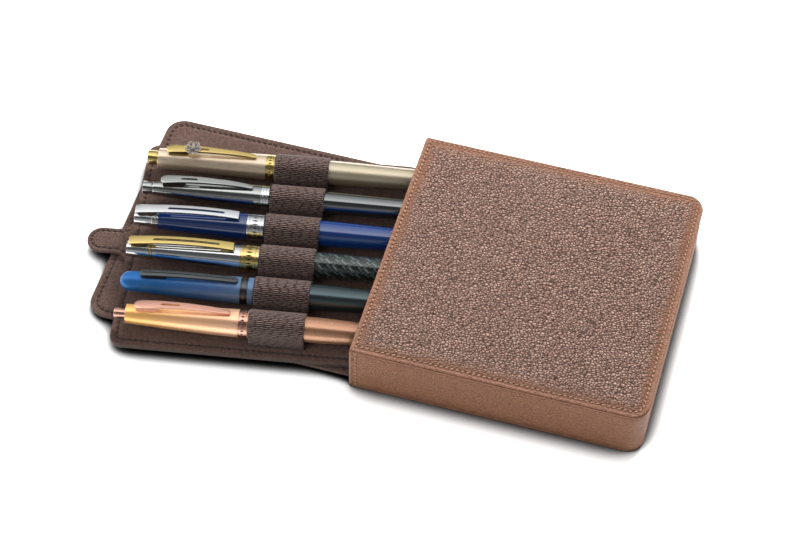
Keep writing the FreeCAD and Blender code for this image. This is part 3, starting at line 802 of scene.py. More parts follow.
# Turned strip and stitches at the mouth, on the front and the back
for label, side in (("Front", -1), ("Back", 1)):
    work = bmesh.new()
    for vert in bmesh.ops.create_cube(work, size=1.0)["verts"]:
        x, y, z = (start + (part + 0.5) * size for part, (start, size)
                   in zip(vert.co, (mouth["x"], mouth["y"], mouth["z"])))
        vert.co = sleevePoint(x, side * y, z)
    bmesh.ops.subdivide_edges(work, edges=work.edges, cuts=6, use_grid_fill=True)
    strip = fromWork("mouthEdge" + label, work)
    rounded = strip.modifiers.new("rounded", "BEVEL")
    rounded.width = mouth["bevel"] * mm
    rounded.segments = 3
    rounded.limit_method = "ANGLE"
    settle(strip)
    finishPiece(strip, trimLeather, "sleeve", "side_leather")
    line = [(sleevePoint(*point), (0, side, 0)) for point in
            run((mouth["seamX"], side * mouth["seamY"], mouth["seamLow"]),
                (mouth["seamX"], side * mouth["seamY"], mouth["seamHigh"]), 20)]
    stitches("mouthStitches" + label, [line], dict(seamLook, slant=0.1), tanThread, "sleeve",
             "side_leather")
print("sleeve done")

# Tray and leaf

traySpec = {"x": (0.0, 136.5), "halfY": 61.0, "radii": (5.5, 8.0), "counts": (100, 92),
            "seam": (3.2, 2.9)}
leafSpec = dict(traySpec, x=(-198.9549, -57.4549), halfY=63.0, radii=(9.0, 8.0))
layers = {"tray": {"backing": (4.3, 5.2), "suede": (6.2, trayTop), "fillet": 0.35,
                   "middle": 58.0, "thread": 0.7},
          "leaf": {"backing": (2.5, 3.3), "suede": (3.3, 4.1), "fillet": 0.3,
                   "middle": 60.0, "thread": 0.55}}
seamDepth = 0.22


def seamDip(inset):
    return -seamDepth * bell(inset, traySpec["seam"][0], 0.9)


suedeStitch = {"pitch": 2.9, "length": 2.1, "thickness": 0.55, "slant": 0.1}
# Underneath, the thread is pulled in flush, so that it clears what it slides over.
flatStitch = dict(suedeStitch, thickness=0.36)
raised, sunk = 0.05 - seamDepth, 0.12
for body, spec, place, nodeNames in (
        ("tray", traySpec, trayPoint, ("tray_suede",)),
        ("leaf", leafSpec, sleevePoint, ("leaf_suede", "joining_strip"))):
    layer = layers[body]
    edge = layer["fillet"], layer["middle"]
    face = panel(body + "Suede", spec, edgeRings(*layer["suede"], *edge, seamDip, 26), place)
    finishPiece(face, suede, body, "suede", *nodeNames)
    back = panel(body + "Backing", spec, edgeRings(*layer["backing"], *edge), place)
    finishPiece(back, backLeather, body, "side_leather", body + "_backing")
    ringStitches(body + "Stitches", spec, layer["suede"][1] + raised, place,
                 dict(suedeStitch, thickness=layer["thread"]), darkThread, body, "suede")
    ringStitches(body + "UnderStitches", spec, layer["backing"][0] + sunk, place, flatStitch,
                 tanThread, body, "side_leather", (0, 0, -1))

tabSize = {"length": 20.5, "head": 7.2, "flare": 6.0, "low": 4.85, "high": 6.55,
           "seam": 2.0, "root": 2.5}


def tabOutline(inset):
    head, flare = tabSize["head"] - inset, tabSize["flare"] + inset
    centre, neck = tabSize["head"] - tabSize["length"], -tabSize["flare"]
    half = arc((centre, 0), head, 180, -90, 18)
    half += run((centre, head), (neck, head), 8, range(1, 8))
    half += arc((neck, tabSize["head"] + tabSize["flare"]), flare, -90, 90, 12)
    half.append((tabSize["root"], half[-1][1]))
    return half + [(x, -y) for x, y in reversed(half[1:])]


low, high = tabSize["low"], tabSize["high"]
tabRings = [(2.5, low), (0.4, low), (0.1, low + 0.15), (0.0, low + 0.45),
            (0.0, high - 0.45), (0.1, high - 0.15), (0.4, high), (1.5, high - 0.03),
            (2.0, high - 0.12), (2.5, high - 0.03), (3.4, high)]
lengths = lengthsOf(tabOutline(0))
size = (len(tabRings), len(lengths))
tab = addMesh("pullTab", [trayPoint(x, y, z) for inset, z in tabRings
                          for x, y in tabOutline(inset)],
              gridFaces(*size) + endFaces(*size),
              [(u, inset + 1.2) for inset, z in tabRings for u in lengths])
finishPiece(tab, suede, "tray", "suede", "pull_tab")
tabLine = [(trayPoint(x, y, high + 0.02), (0, 0, 1))
           for x, y in tabOutline(tabSize["seam"]) if x < 1.0]
half = len(tabLine) // 2
stitches("tabStitches", [tabLine[:half][::-1] + tabLine[half:][::-1]], suedeStitch,
         darkThread, "tray", "suede")
print("tray done")

# Pens: values in millimetres from each pen's outer end

pens = {
    1: {"mouth": 62.4, "length": 130.6, "capStart": 5.3, "top": 4.8, "mouthR": 6.2,
        "bow": 0.25, "ring": (58.1, 62.1), "barrelR": 5.8, "tail": 5.2,
        "clip": {"start": 9.5, "end": 53.5, "width": 4.6, "tip": 2.0, "crest": 20.0,
                 "heights": (6.9, 8.3, 6.4), "round": True, "slot": (24.0, 30.0),
                 "slotWidth": 1.0, "lug": 10.0}},
    2: {"mouth": 61.8, "length": 129.2, "capStart": 4.9, "top": 3.3, "mouthR": 5.9,
        "bow": 0.75, "ring": (57.7, 61.5), "barrelR": 5.5, "tail": 4.9,
        "clip": {"start": 9.0, "end": 53.7, "width": 4.8, "tip": 2.2, "crest": 21.0,
                 "heights": (6.4, 8.2, 6.15), "round": True, "slot": (19.5, 26.5),
                 "slotWidth": 1.0, "lug": 11.0}},
    3: {"mouth": 62.6, "length": 131.2, "capStart": 11.7, "top": 4.6, "mouthR": 6.6,
        "bow": 0.4, "ring": (54.3, 62.3), "barrelR": 6.2, "tail": 5.4,
        "clip": {"start": 0.6, "end": 50.5, "width": 4.8, "tip": 4.6, "crest": 24.0,
                 "heights": (5.9, 8.6, 7.8), "round": False, "slot": (17.0, 43.0),
                 "slotWidth": 1.1, "lug": 9.5}},
    4: {"mouth": 63.2, "length": 131.8, "capStart": 0.0, "top": 3.7, "mouthR": 6.65,
        "bow": 0.45, "ring": (54.4, 62.9), "barrelR": 6.2, "tail": 5.5,
        "clip": {"start": 1.2, "end": 51.3, "width": 4.8, "tip": 4.6, "crest": 24.0,
                 "heights": (5.9, 8.6, 7.8), "round": False, "slot": (13.5, 44.0),
                 "slotWidth": 1.1, "lug": 8.5}},
    5: {"mouth": 63.4, "length": 131.6, "capStart": 4.2, "top": 4.6, "mouthR": 6.5,
        "bow": 0.35, "ring": (57.2, 60.6), "barrelR": 6.1, "tail": 5.3,
        "clip": {"start": 9.6, "end": 56.0, "width": 3.8, "tip": 3.2, "crest": 22.0,
                 "heights": (6.5, 7.6, 7.0), "round": True, "slot": None,
                 "slotWidth": 0.0, "lug": 12.0}},
    6: {"mouth": 63.0, "length": 131.4, "capStart": 5.6, "top": 4.5, "mouthR": 6.7,
        "bow": 0.35, "ring": (58.6, 62.7), "barrelR": 6.0, "tail": 5.2,
        # The push pen's nose is bored for the refill.
        "nose": 12.0, "bore": 1.35, "channel": 2.7, "buttonR": 2.3, "buttonDepth": 14.0,
        "clip": {"start": 10.0, "end": 54.7, "width": 4.8, "tip": 2.2, "crest": 20.0,
                 "heights": (6.8, 8.9, 7.0), "round": True, "slot": (23.0, 31.0),
                 "slotWidth": 1.0, "lug": 10.0}},
}
# The strip that holds the pens: where it starts and how wide it is, its room round a pen
loopBand = {"start": 64.5, "width": 26.0, "thick": 1.0, "gap": 0.3, "foot": 1.1, "end": 3.0,
            "pinch": 0.12, "waist": 0.1, "columns": 27}
penPitch, firstMargin = 19.0, 14.0
for number, pen in pens.items():
    pen["y"] = traySpec["halfY"] - firstMargin - (number - 1) * penPitch
    pen["x"] = loopBand["start"] - 0.3 - pen["mouth"]


def penPoint(number, x, across, up):
    pen = pens[number]
    return trayPoint(pen["x"] + x, pen["y"] + across, penHeight + up)


def capRadius(pen, x):
    share = (x - pen["capStart"]) / (pen["mouth"] - pen["capStart"])
    return (pen["top"] + share * (pen["mouthR"] - pen["top"])
            + 4 * pen["bow"] * share * (1 - share))


def capLine(pen, start, end):
    places = [start + (end - start) * k / 14 for k in range(15)]
    return [(x, capRadius(pen, x)) for x in places]


def soften(profile, fillet):
    # Rounds each inner corner of a profile with a short curve.
    out = [profile[0]]
    for before, here, after in zip(profile, profile[1:], profile[2:]):
        corner = Vector(here)
        one, two = Vector(before) - corner, Vector(after) - corner
        if one.length < 1e-6 or two.length < 1e-6 or one.angle(two) > math.radians(165):
            out.append(here)
            continue
        size = min(fillet, one.length * 0.45, two.length * 0.45)
        a, b = corner + one.normalized() * size, corner + two.normalized() * size
        for k in range(4):
            t = k / 3
            out.append(tuple(a * (1 - t) ** 2 + corner * 2 * t * (1 - t) + b * t ** 2))
    return out + [profile[-1]]


def turned(name, number, profile, fillet=0.25, joined=False):
    # joined closes the profile on itself, for a ring; otherwise both ends are on the axis.
    points, segments = soften(profile, fillet), 72
    circle = arc((0, 0), 1, 0, 360, segments, range(segments))
    verts = [penPoint(number, x, max(radius, 0.001) * s, max(radius, 0.001) * c)
             for x, radius in points for c, s in circle]
    uvs = [(k / segments, x / turnLength) for x, radius in points for k in range(segments)]
    faces = gridFaces(len(points), segments, joined=joined)
    return closeTurn(addMesh(name, verts, faces, uvs, "turn"), "turn", 1.0)


def clipUnderside(clip, x):
    # The underside is one arc through its low end, its crest and its tip.
    places = (clip["start"], clip["start"] + clip["crest"], clip["end"])
    (x1, x2, x3), (z1, z2, z3) = places, clip["heights"]
    d = 2 * (x1 * (z2 - z3) + x2 * (z3 - z1) + x3 * (z1 - z2))
    a, b, c = x1 * x1 + z1 * z1, x2 * x2 + z2 * z2, x3 * x3 + z3 * z3
    ux = (a * (z2 - z3) + b * (z3 - z1) + c * (z1 - z2)) / d
    uz = (a * (x3 - x2) + b * (x1 - x3) + c * (x2 - x1)) / d
    x = min(max(x, clip["start"]), clip["end"])
    return uz + math.sqrt(max(math.hypot(x1 - ux, z1 - uz) ** 2 - (x - ux) ** 2, 0.0))


def clipOutline(clip):
    # Round the head, down one side, round the tail and back, in the clip's own plane.
    start, end = clip["start"], clip["end"]
    a, b = clip["width"] / 2, clip["tip"] / 2
    if clip["round"]:
        first, last = start + a, end - b
        head = arc((first, 0), a, 90, 180, 16)
        tail = arc((last, 0), b, -90, 180, 14)
    else:
        first, last = start + 0.7, end - 0.35
        head = [(first, a), (start + 0.3, a - 0.12), (start + 0.08, a - 0.4)]
        head += [(start, a * (1 - k / 4)) for k in range(2, 7)]
        head += [(x, -y) for x, y in reversed(head[:3])]
        tail = [(last, -b), (end - 0.1, -b + 0.1), (end, -b + 0.35)]
        tail += [(end, b * k / 4) for k in range(-3, 4)]
        tail += [(x, -y) for x, y in reversed(tail[:3])]
    down, back = (run((first, side * a), (last, side * b), 56, range(1, 56))
                  for side in (-1, 1))
    return head + down + tail + back[::-1]


def clipCore(clip, x, y):
    # The point of the slot, or of the middle line, that an outline point looks at.
    if clip["slot"]:
        low, high = clip["slot"]
        half = clip["slotWidth"] / 2
        if low <= x <= high:
            return x, math.copysign(half, y)
        centre = low if x < low else high
        turn = math.atan2(y, x - centre)
        return centre + half * math.cos(turn), half * math.sin(turn)
    a, b = clip["width"] / 2, clip["tip"] / 2
    return min(max(x, clip["start"] + a), clip["end"] - b), 0.0


clipShape = {"thick": 1.0, "edge": 0.26, "lip": 0.14, "crown": 0.2, "lugStart": 1.0,
             "lugWidth": 0.72, "lugTop": 0.3, "lugSunk": 0.8, "lugSlope": 1.6,
             "lugBevel": 0.3}


def clipRows(slotted):
    # (share of the way out from the core, step outwards, height) round the strip's section.
    thick, edge, lip = (clipShape[key] for key in ("thick", "edge", "lip"))
    quarter = arc((0, 0), 1, 0, 90, 4)
    rows = [(1, edge * (s - 1), edge * (1 - c)) for c, s in quarter]
    rows += [(1, edge * (c - 1), thick - edge * (1 - s)) for c, s in quarter]
    rows += [(share, 0.0, thick) for share in (0.82, 0.62, 0.42, 0.22)]
    if slotted:
        rows += [(0, lip * (1 - s), thick - lip * (1 - c)) for c, s in quarter]
        rows += [(0, 0.0, lip), (0, lip, 0.0)]
    else:
        rows += [(0, 0.0, thick), (0, 0.0, 0.0)]
    return rows + [(0.5, 0.0, 0.0)]


def makeClip(number, material, body, slot, drop=0.0):
    clip = pens[number]["clip"]
    start, end, width = clip["start"], clip["end"], clip["width"]
    rows, outline = clipRows(clip["slot"]), clipOutline(clip)
    work = bmesh.new()
    verts = []
    for share, away, z in rows:
        for x, y in outline:
            cx, cy = clipCore(clip, x, y)
            size = share + away / (math.hypot(x - cx, y - cy) or 1.0)
            px, py = cx + (x - cx) * size, cy + (y - cy) * size
            lift = clipUnderside(clip, px) + z
            tail = (px - start) / (end - start) - 0.95
            if z > clipShape["thick"] / 2:
                lift += clipShape["crown"] * (1 - (py / width * 2) ** 2)
            elif tail > 0:
                lift -= drop * tail / 0.05
            verts.append(work.verts.new(penPoint(number, px, py, lift)))
    for face in gridFaces(len(rows), len(outline), joined=True):
        work.faces.new([verts[k] for k in face])
    bmesh.ops.remove_doubles(work, verts=work.verts, dist=0.00001)
    # The lug that holds the strip to the cap
    lug = bmesh.ops.create_cube(work, size=1.0)["verts"]
    for vert in lug:
        x, y, z = vert.co
        first = clipShape["lugStart"]
        px = start + first + (x + 0.5) * (clip["lug"] - first)
        top = clipUnderside(clip, px) + clipShape["lugTop"]
        low = capRadius(pens[number], max(px, pens[number]["capStart"]))
        low -= clipShape["lugSunk"]
        slope = clipShape["lugSlope"] if (x > 0 and z > 0) else 0.0
        vert.co = penPoint(number, px + slope, y * clipShape["lugWidth"] * width,
                           top if z > 0 else low)
    bmesh.ops.bevel(work, geom=list({edge for vert in lug for edge in vert.link_edges}),
                    offset=clipShape["lugBevel"] * mm, segments=3, affect="EDGES")
    bmesh.ops.recalc_face_normals(work, faces=work.faces)
    piece = fromWork("pen%dClip" % number, work)
    piece.data.set_sharp_from_angle(angle=math.radians(50))
    finishPiece(piece, material, body, slot, "pen%d_clip" % number)


def steady(colour):
    return [(0, colour), (turnLength, colour)]


goldTone, roseTone, enamel = tone(214, 190, 122), tone(216, 166, 146), tone(48, 34, 16)
finishes = {
    "gold": makeMetal("polishedGold", goldTone, 0.2),
    "silver": makeMetal("agedSilver", tone(186, 180, 170), 0.24),
    "chrome": makeMetal("brightChrome", tone(214, 216, 218), 0.1),
    "smoke": makeMetal("smokedChrome", tone(168, 170, 168), 0.13),
    "rose": makeMetal("roseGold", roseTone, 0.24),
    "blackSatin": makeMetal("blackSatin", tone(86, 90, 92), 0.26, 0.01),
    "resin": makeLacquer("blackResin", {"stops": steady(tone(16, 16, 18)), "rough": 0.3,
        "flakeTone": tone(20, 20, 22)}),
    "champagne": makeLacquer("champagneSatin", {"metallic": 0.85, "coat": 0.3,
        "rough": 0.34, "stops": [(0, tone(218, 198, 172)), (62, tone(214, 192, 168)),
        (66, tone(192, 180, 155)), (140, tone(188, 176, 151))], "grit": 0.012,
        "flake": 0.25, "flakeTone": tone(240, 226, 204)}),
    "black": makeLacquer("blackLacquer", {"metallic": 0.9, "rough": 0.1, "ior": 2.4,
        "stops": [(0, tone(52, 60, 62)), (140, tone(48, 56, 58))],
        "flakeTone": tone(60, 68, 70)}),
    "blue": makeLacquer("blueLacquer", {"metallic": 0.1, "rough": 0.16, "ior": 1.65,
        "stops": [(0, tone(4, 34, 84)), (62, tone(4, 32, 80)), (64, tone(0, 42, 100)),
        (140, tone(0, 42, 100))], "flake": 0.2, "flakeTone": tone(6, 56, 128)}),
    "fadeBlue": makeLacquer("fadingBlueMatte", {"metallic": 0.45, "coat": 0.15,
        "rough": 0.4, "stops": [(0, tone(12, 90, 152)), (18, tone(18, 85, 147)),
        (40, tone(56, 92, 142)), (66, tone(92, 112, 140))], "grit": 0.008, "flake": 0.15,
        "flakeTone": tone(90, 130, 180)}),
    "darkSatin": makeLacquer("darkSatin", {"metallic": 0.85, "coat": 0.4, "rough": 0.22,
        "stops": [(0, tone(62, 82, 92)), (140, tone(66, 78, 80))], "grit": 0.006,
        "flakeTone": tone(84, 100, 106)}),
    "copper": makeLacquer("fadingCopper", {"metallic": 0.65, "coat": 0.5, "rough": 0.28,
        "stops": [(0, tone(240, 184, 98)), (16, tone(242, 184, 110)),
        (36, tone(244, 190, 144)), (64, tone(238, 188, 158))], "grit": 0.008,
        "flake": 0.2, "flakeTone": tone(240, 184, 128)}),
    "brown": makeLacquer("brownMetallic", {"metallic": 0.7, "coat": 0.7, "rough": 0.25,
        "stops": [(0, tone(190, 142, 110)), (66, tone(186, 138, 106)),
        (140, tone(164, 118, 90))], "flakeTone": tone(206, 154, 118)}),
    "engraved": makeGuilloche("engravedBlack", {"across": 12.0, "along": 38.0,
        "hatch": 1.5, "dark": tone(8, 13, 13), "light": tone(116, 132, 128)}),
    "goldBand": makeBand("engravedGold", goldTone, enamel, 26, 58.9, 61.4),
    "wideGold": makeBand("engravedWideGold", tone(216, 192, 126), enamel, 22, 56.4, 60.8),
    "wideChrome": makeBand("engravedWideChrome", tone(204, 206, 208), tone(96, 98, 100), 22,
                           56.2, 60.4),
    "roseBand": makeBand("engravedRose", roseTone, tone(50, 26, 20), 24, 59.4, 61.9),
}
inner = {"boreR": 4.9, "boreDepth": 22.5, "nibBoreR": 3.6, "capDepth": 44.0,
         "ringDepth": 0.6, "taper": 34.0, "chamfer": 0.8}
# Half the width of a ring's groove at the top and at its floor, and its depth
groove = {"top": 0.18, "floor": 0.1, "depth": 0.16}


def makeCap(number, material, body, slot):
    pen = pens[number]
    start, mouth = pen["capStart"], pen["mouth"]
    low, high = pen["ring"]
    ringR, bored = pen["mouthR"] - inner["ringDepth"], mouth - inner["boreDepth"]
    floor = mouth - inner["capDepth"]
    profile = [(start, 0.0)]
    if number == 5:
        # A domed end, part of a ball
        ball = (pen["top"] ** 2 + start ** 2) / (2 * start)
        widest = math.degrees(math.acos(max(1 - start / ball, -1)))
        profile = [(ball - x, y) for x, y in arc((0, 0), ball, 0, widest, 12, range(12))]
    profile += capLine(pen, start, low)
    profile += [(low, ringR), (high, ringR), (high, capRadius(pen, high)),
                (mouth, pen["mouthR"]), (mouth, inner["boreR"]), (bored, inner["boreR"]),
                (bored, inner["nibBoreR"]), (floor, inner["nibBoreR"]), (floor, 0.0)]
    made = turned("pen%dCap" % number, number, profile, 0.18)
    finishPiece(made, material, body, slot, "pen%d_cap" % number)


def makeBarrel(number, material, slot, nodeName):
    pen = pens[number]
    mouth, end, barrelR, tail = (pen[key] for key in ("mouth", "length", "barrelR", "tail"))
    taper, chamfer = end - inner["taper"], inner["chamfer"]
    if "nose" in pen:
        # The push pen's taper ends in its nose.
        nose, bore, channel = (pen[key] for key in ("nose", "bore", "channel"))
        start = end - nose + 1.0
        profile = [(mouth, channel), (mouth, barrelR), (taper, barrelR), (end - nose, tail),
                   (end, bore + 0.5), (end, bore), (start, bore), (start, channel)]
    else:
        profile = [(mouth, 0.0), (mouth, barrelR)]
        profile += run((taper, barrelR), (end - chamfer, tail), 8)
        profile += [(end, tail - chamfer), (end, 0.0)]
    made = turned("pen%dBarrel" % number, number, profile, 0.2, joined="nose" in pen)
    finishPiece(made, material, "pen%d" % number, slot, nodeName)


def makeRing(number, material, body, slot, grooves):
    pen = pens[number]
    low, high = pen["ring"]
    ringR = pen["mouthR"] - inner["ringDepth"]
    outer = capRadius(pen, (low + high) / 2) + 0.06
    profile = [(low, ringR), (low, outer)]
    bottom = outer - groove["depth"]
    for place in grooves:
        x = low + place
        profile += [(x - groove["top"], outer), (x - groove["floor"], bottom),
                    (x + groove["floor"], bottom), (x + groove["top"], outer)]
    profile += [(high, outer), (high, ringR)]
    made = turned("pen%dRing" % number, number, profile, 0.06, joined=True)
    finishPiece(made, material, body, slot, "pen%d_ring" % number)


# Looks and slots of the capped pens. The clip's look is the finial's too, drop is how far
# the clip's tail turns down, and the finial is a profile with the size of its fillets.
cappedPens = {
    1: {"cap": ("champagne", "champagne_satin"), "barrel": ("champagne", "champagne_satin"),
        "ring": ("goldBand", "gold"), "clip": ("gold", "gold"), "grooves": (0.45, 3.6),
        "finial": ([(0, 0), (0, 3.5), (4.4, 3.5), (4.5, 3.3), (4.8, 3.3), (4.9, 3.6),
                   (5.3, 3.6), (5.3, 0)], 0.25)},
    2: {"cap": ("smoke", "bright_chrome"), "barrel": ("black", "black_lacquer"),
        "ring": ("chrome", "bright_chrome"), "clip": ("smoke", "bright_chrome"),
        "grooves": (1.1, 2.5),
        "finial": ([(0, 0), (0, 3.1), (4.4, 3.1), (4.4, 2.7), (4.9, 2.7), (4.9, 0)], 0.25)},
    3: {"cap": ("blue", "blue_lacquer"), "barrel": ("blue", "blue_lacquer"),
        "ring": ("wideChrome", "bright_chrome"), "clip": ("chrome", "bright_chrome"),
        "grooves": (1.2, 6.6), "drop": 0.8,
        "finial": ([(0, 0), (0, 3.4), (8.7, 4.2), (8.7, 4.6), (9.9, 4.6), (9.9, 4.35),
                   (10.4, 4.35), (10.4, 4.6), (11.7, 4.6), (11.7, 0)], 0.2)},
    4: {"cap": ("chrome", "bright_chrome"), "barrel": ("engraved", "dark_engraved"),
        "ring": ("wideGold", "gold"), "clip": ("gold", "gold"), "grooves": (1.2, 7.2),
        "drop": 0.8},
    5: {"cap": ("fadeBlue", "blue_matte"), "barrel": ("darkSatin", "dark_satin"),
        "ring": ("blackSatin", "black_satin"), "clip": ("blackSatin", "black_satin"),
        "grooves": (0.7, 2.8), "drop": 0.3},
}
for number, parts in cappedPens.items():
    body = "pen%d_capped_end" % number
    look = {key: (finishes[parts[key][0]], parts[key][1])
            for key in ("cap", "barrel", "ring", "clip")}
    clipMaterial, clipSlot = look["clip"]
    makeCap(number, look["cap"][0], body, look["cap"][1])
    makeBarrel(number, *look["barrel"], "pen%d_barrel" % number)
    makeRing(number, look["ring"][0], body, look["ring"][1], parts["grooves"])
    if "finial" in parts:
        made = turned("pen%dFinial" % number, number, *parts["finial"])
        finishPiece(made, clipMaterial, body, clipSlot, "pen%d_finial" % number)
    makeClip(number, clipMaterial, body, clipSlot, parts.get("drop", 0.0))

topRings = {"start": 10.6, "first": 11.35, "second": 11.85, "end": 12.6}
start, first, second, end = topRings.values()
radius = capRadius(pens[4], start) + 0.15
made = turned("pen4TopRings", 4, [(start, radius - 0.4), (start, radius), (first, radius),
              (first, radius - 0.2), (second, radius - 0.2), (second, radius),
              (end, radius), (end, radius - 0.4)], 0.08, joined=True)
finishPiece(made, finishes["gold"], "pen4_capped_end", "gold", "pen4_top_rings")

pen = pens[6]
start, mouth, (low, high) = pen["capStart"], pen["mouth"], pen["ring"]
ringR, lipR = pen["mouthR"] - inner["ringDepth"], pen["mouthR"] - 0.1
made = turned("pen6UpperBarrel", 6, [(start, 0.0), (start, pen["buttonR"] + 0.2)]
              + capLine(pen, start, low) + [(low, ringR), (high, ringR), (high, lipR),
              (mouth, lipR), (mouth, 0.0)])
finishPiece(made, finishes["copper"], "pen6", "copper_lacquer", "pen6_upper_barrel")
makeBarrel(6, finishes["brown"], "brown_lacquer", "pen6_lower_barrel")
makeRing(6, finishes["roseBand"], "pen6", "rose_gold", (0.45, 3.6))
made = turned("pen6Button", 6, [(0, 0), (0, pen["buttonR"]), (pen["buttonDepth"],
              pen["buttonR"]), (pen["buttonDepth"], 0)], 0.5)
finishPiece(made, finishes["rose"], "pen6_click", "rose_gold", "pen6_button")
makeClip(6, finishes["rose"], "pen6", "rose_gold")
print("pens done")

# The charm on the clip of pen 1: an open-work blossom with a bead at its heart

charm = {"x": 22.5, "up": 9.75, "petals": 6, "petal": 1.45, "reach": 2.5, "wire": 0.2,
         "tips": 3.9, "tipBead": 0.3, "gaps": 2.9, "gapBead": 0.28, "heart": 0.75,
         "plate": 2.9, "plateThick": 0.35}
work = bmesh.new()


def addWire(x, y, up, turn, radius, tilt, wire):
    rounds, sides = 26, 8
    verts = []
    for k in range(rounds):
        t = 2 * math.pi * k / rounds
        for c, s in arc((0, 0), wire, 0, 360, sides, range(sides)):
            verts.append(work.verts.new(penPoint(
                1, x + (radius + c) * math.cos(t), y + (radius + c) * math.sin(t),
                up + s + tilt * math.cos(t - turn))))
    for face in gridFaces(rounds, sides, joined=True):
        work.faces.new([verts[k] for k in face])


def addBead(reach, turn, up, radius):
    made = bmesh.ops.create_uvsphere(work, u_segments=12, v_segments=8, radius=radius * mm)
    place = penPoint(1, charm["x"] + reach * math.cos(turn), reach * math.sin(turn), up)
    for vert in made["verts"]:
        vert.co = vert.co + place


up = charm["up"]
for k in range(charm["petals"]):
    t = 2 * math.pi * k / charm["petals"]
    x, y = charm["x"] + charm["reach"] * math.cos(t), charm["reach"] * math.sin(t)
    addWire(x, y, up, t, charm["petal"], 0.35, charm["wire"])
    addWire(x, y, up, t, charm["petal"] * 0.5, 0.15, charm["wire"] * 0.8)
    addBead(charm["tips"], t, up + 0.3, charm["tipBead"])
    addBead(charm["gaps"], t + math.pi / charm["petals"], up + 0.1, charm["gapBead"])
addWire(charm["x"], 0, up + 0.2, 0, 1.0, 0.0, 0.22)
addBead(0, 0, up + 0.25, charm["heart"])
bmesh.ops.recalc_face_normals(work, faces=work.faces)
finishPiece(fromWork("pen1Charm", work), finishes["silver"], "pen1_capped_end", "silver",
            "pen1_charm")

# A dark disc under the open-work, painted shade in the charm's hollows.
work = bmesh.new()
made = bmesh.ops.create_cone(work, cap_ends=True, segments=36,
                             radius1=charm["plate"] * mm,
                             radius2=(charm["plate"] - 0.2) * mm,
                             depth=charm["plateThick"] * mm)
for vert in made["verts"]:
    x, y, z = vert.co / mm
    vert.co = penPoint(1, charm["x"] + x, y, charm["up"] - 0.3 + z)
finishPiece(fromWork("pen1CharmPlate", work, smooth=False), finishes["resin"],
            "pen1_capped_end", "silver")

# The elastic band: one strip that rises over each pen

foot, bandTop = loopBand["foot"], trayTop + loopBand["thick"]
outer, normals = [], []


def curve(centre, radius, start, sweep, steps, facing, first=0):
    chosen = range(first, steps + 1)
    outer.extend(arc(centre, radius, start, sweep, steps, chosen))
    normals.extend(arc((0, 0), facing, start, sweep, steps, chosen))


def upright(y, low, high, facing, chosen):
    outer.extend(run((y, low), (y, high), 5, chosen))
    normals.extend([(facing, 0)] * len(chosen))


def loopRadius(number):
    return pens[number]["barrelR"] + loopBand["gap"] + loopBand["thick"]


bandEnd = pens[1]["y"] + loopRadius(1)
outer.append((bandEnd + loopBand["end"], bandTop))
normals.append((0, 1))
for number, pen in pens.items():
    y, radius = pen["y"], loopRadius(number)
    curve((y + radius + foot, bandTop + foot), foot, 270, -90, 4, -1)
    upright(y + radius, bandTop + foot, penHeight, 1, range(1, 5))
    curve((y, penHeight), radius, 0, 180, 24, 1)
    last = number == len(pens)
    upright(y - radius, penHeight, trayTop + 0.05 if last else bandTop + foot, -1,
            range(1, 6))
    if not last:
        curve((y - radius - foot, bandTop + foot), foot, 0, -90, 4, -1, 1)
lengths, columns = lengthsOf(outer), loopBand["columns"]
verts, uvs = [], []
for layer in (0, 1):
    for column in range(columns + 1):
        x = loopBand["width"] * column / columns
        selvedge = column in (0, columns)
        depth = loopBand["thick"] - 0.02 if layer else loopBand["pinch"] * selvedge
        for (y, z), (ny, nz), length in zip(outer, normals, lengths):
            waist = loopBand["waist"] * math.sin(length * 0.6) * selvedge
            verts.append(trayPoint(loopBand["start"] + x + waist, y - ny * depth,
                                   z - nz * depth))
            uvs.append((length, x))
loops = addMesh("elasticLoops", verts, shellFaces(columns + 1, len(outer)), uvs)
finishPiece(loops, elastic, "tray", "elastic", "elastic_loops")
# Seams between the loops and at the band's end
seams = [(pens[k]["y"] + pens[k + 1]["y"] - pens[k]["barrelR"] + pens[k + 1]["barrelR"]) / 2
         for k in range(1, 6)] + [bandEnd + 1.6]
ends = [loopBand["start"] + margin for margin in (1, 25)]
bandLines = [[(trayPoint(*point), (0, 0, 1)) for point in
              run((ends[0], y, bandTop + 0.05), (ends[1], y, bandTop + 0.05), 12)]
             for y in seams]
stitches("elasticStitches", bandLines, dict(suedeStitch, pitch=2.4, length=1.7), darkThread,
         "tray", "elastic")
print("elastic done")

# What stays from the frame: hidden boards, nibs, grips and the refill

gold, chrome = finishes["gold"], finishes["chrome"]
kept = {"sleeve_top_padding": liningSuede, "sleeve_top_board": boardCard,
        "sleeve_base_board": boardCard, "tray_board": backLeather, "pen5_tip": chrome,
        "pen6_refill": chrome, "pen6_spring": chrome}
for number in range(1, 6):
    kept["pen%d_grip" % number] = finishes["resin"]
    kept["pen%d_nib" % number] = gold if number in (1, 4) else chrome
for name, material in kept.items():
    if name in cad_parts:
        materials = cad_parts[name].data.materials
        if materials:
            for index in range(len(materials)):
                materials[index] = material
        else:
            materials.append(material)

# Stage, light and camera

work = bmesh.new()
bmesh.ops.create_grid(work, x_segments=2, y_segments=2, size=4.0)
floor = fromWork("floor", work, smooth=False)
floor.location = (0, 0, -0.0002)
paper, tree, put = newMaterial("paleFloor", Roughness=0.9, Specular_IOR_Level=0.1)
# How open the floor is sets its colour, a painted contact shadow on a white ground, and a
# painted glow away from the parts.
openness = Flow(tree, node(tree, "ShaderNodeAmbientOcclusion", {"Distance": 0.016},
                            samples=24).outputs["AO"])
put(Base_Color=ramp(openness, [(0.36, 0.0), (0.52, 0.1), (0.58, 0.36), (0.65, 0.64),
                               (0.75, 0.9)]),
    Emission_Color=ramp(openness, [(0.58, 0.0), (0.88, 0.6)], "EASE"), Emission_Strength=1.0)
floor.data.materials.append(paper)

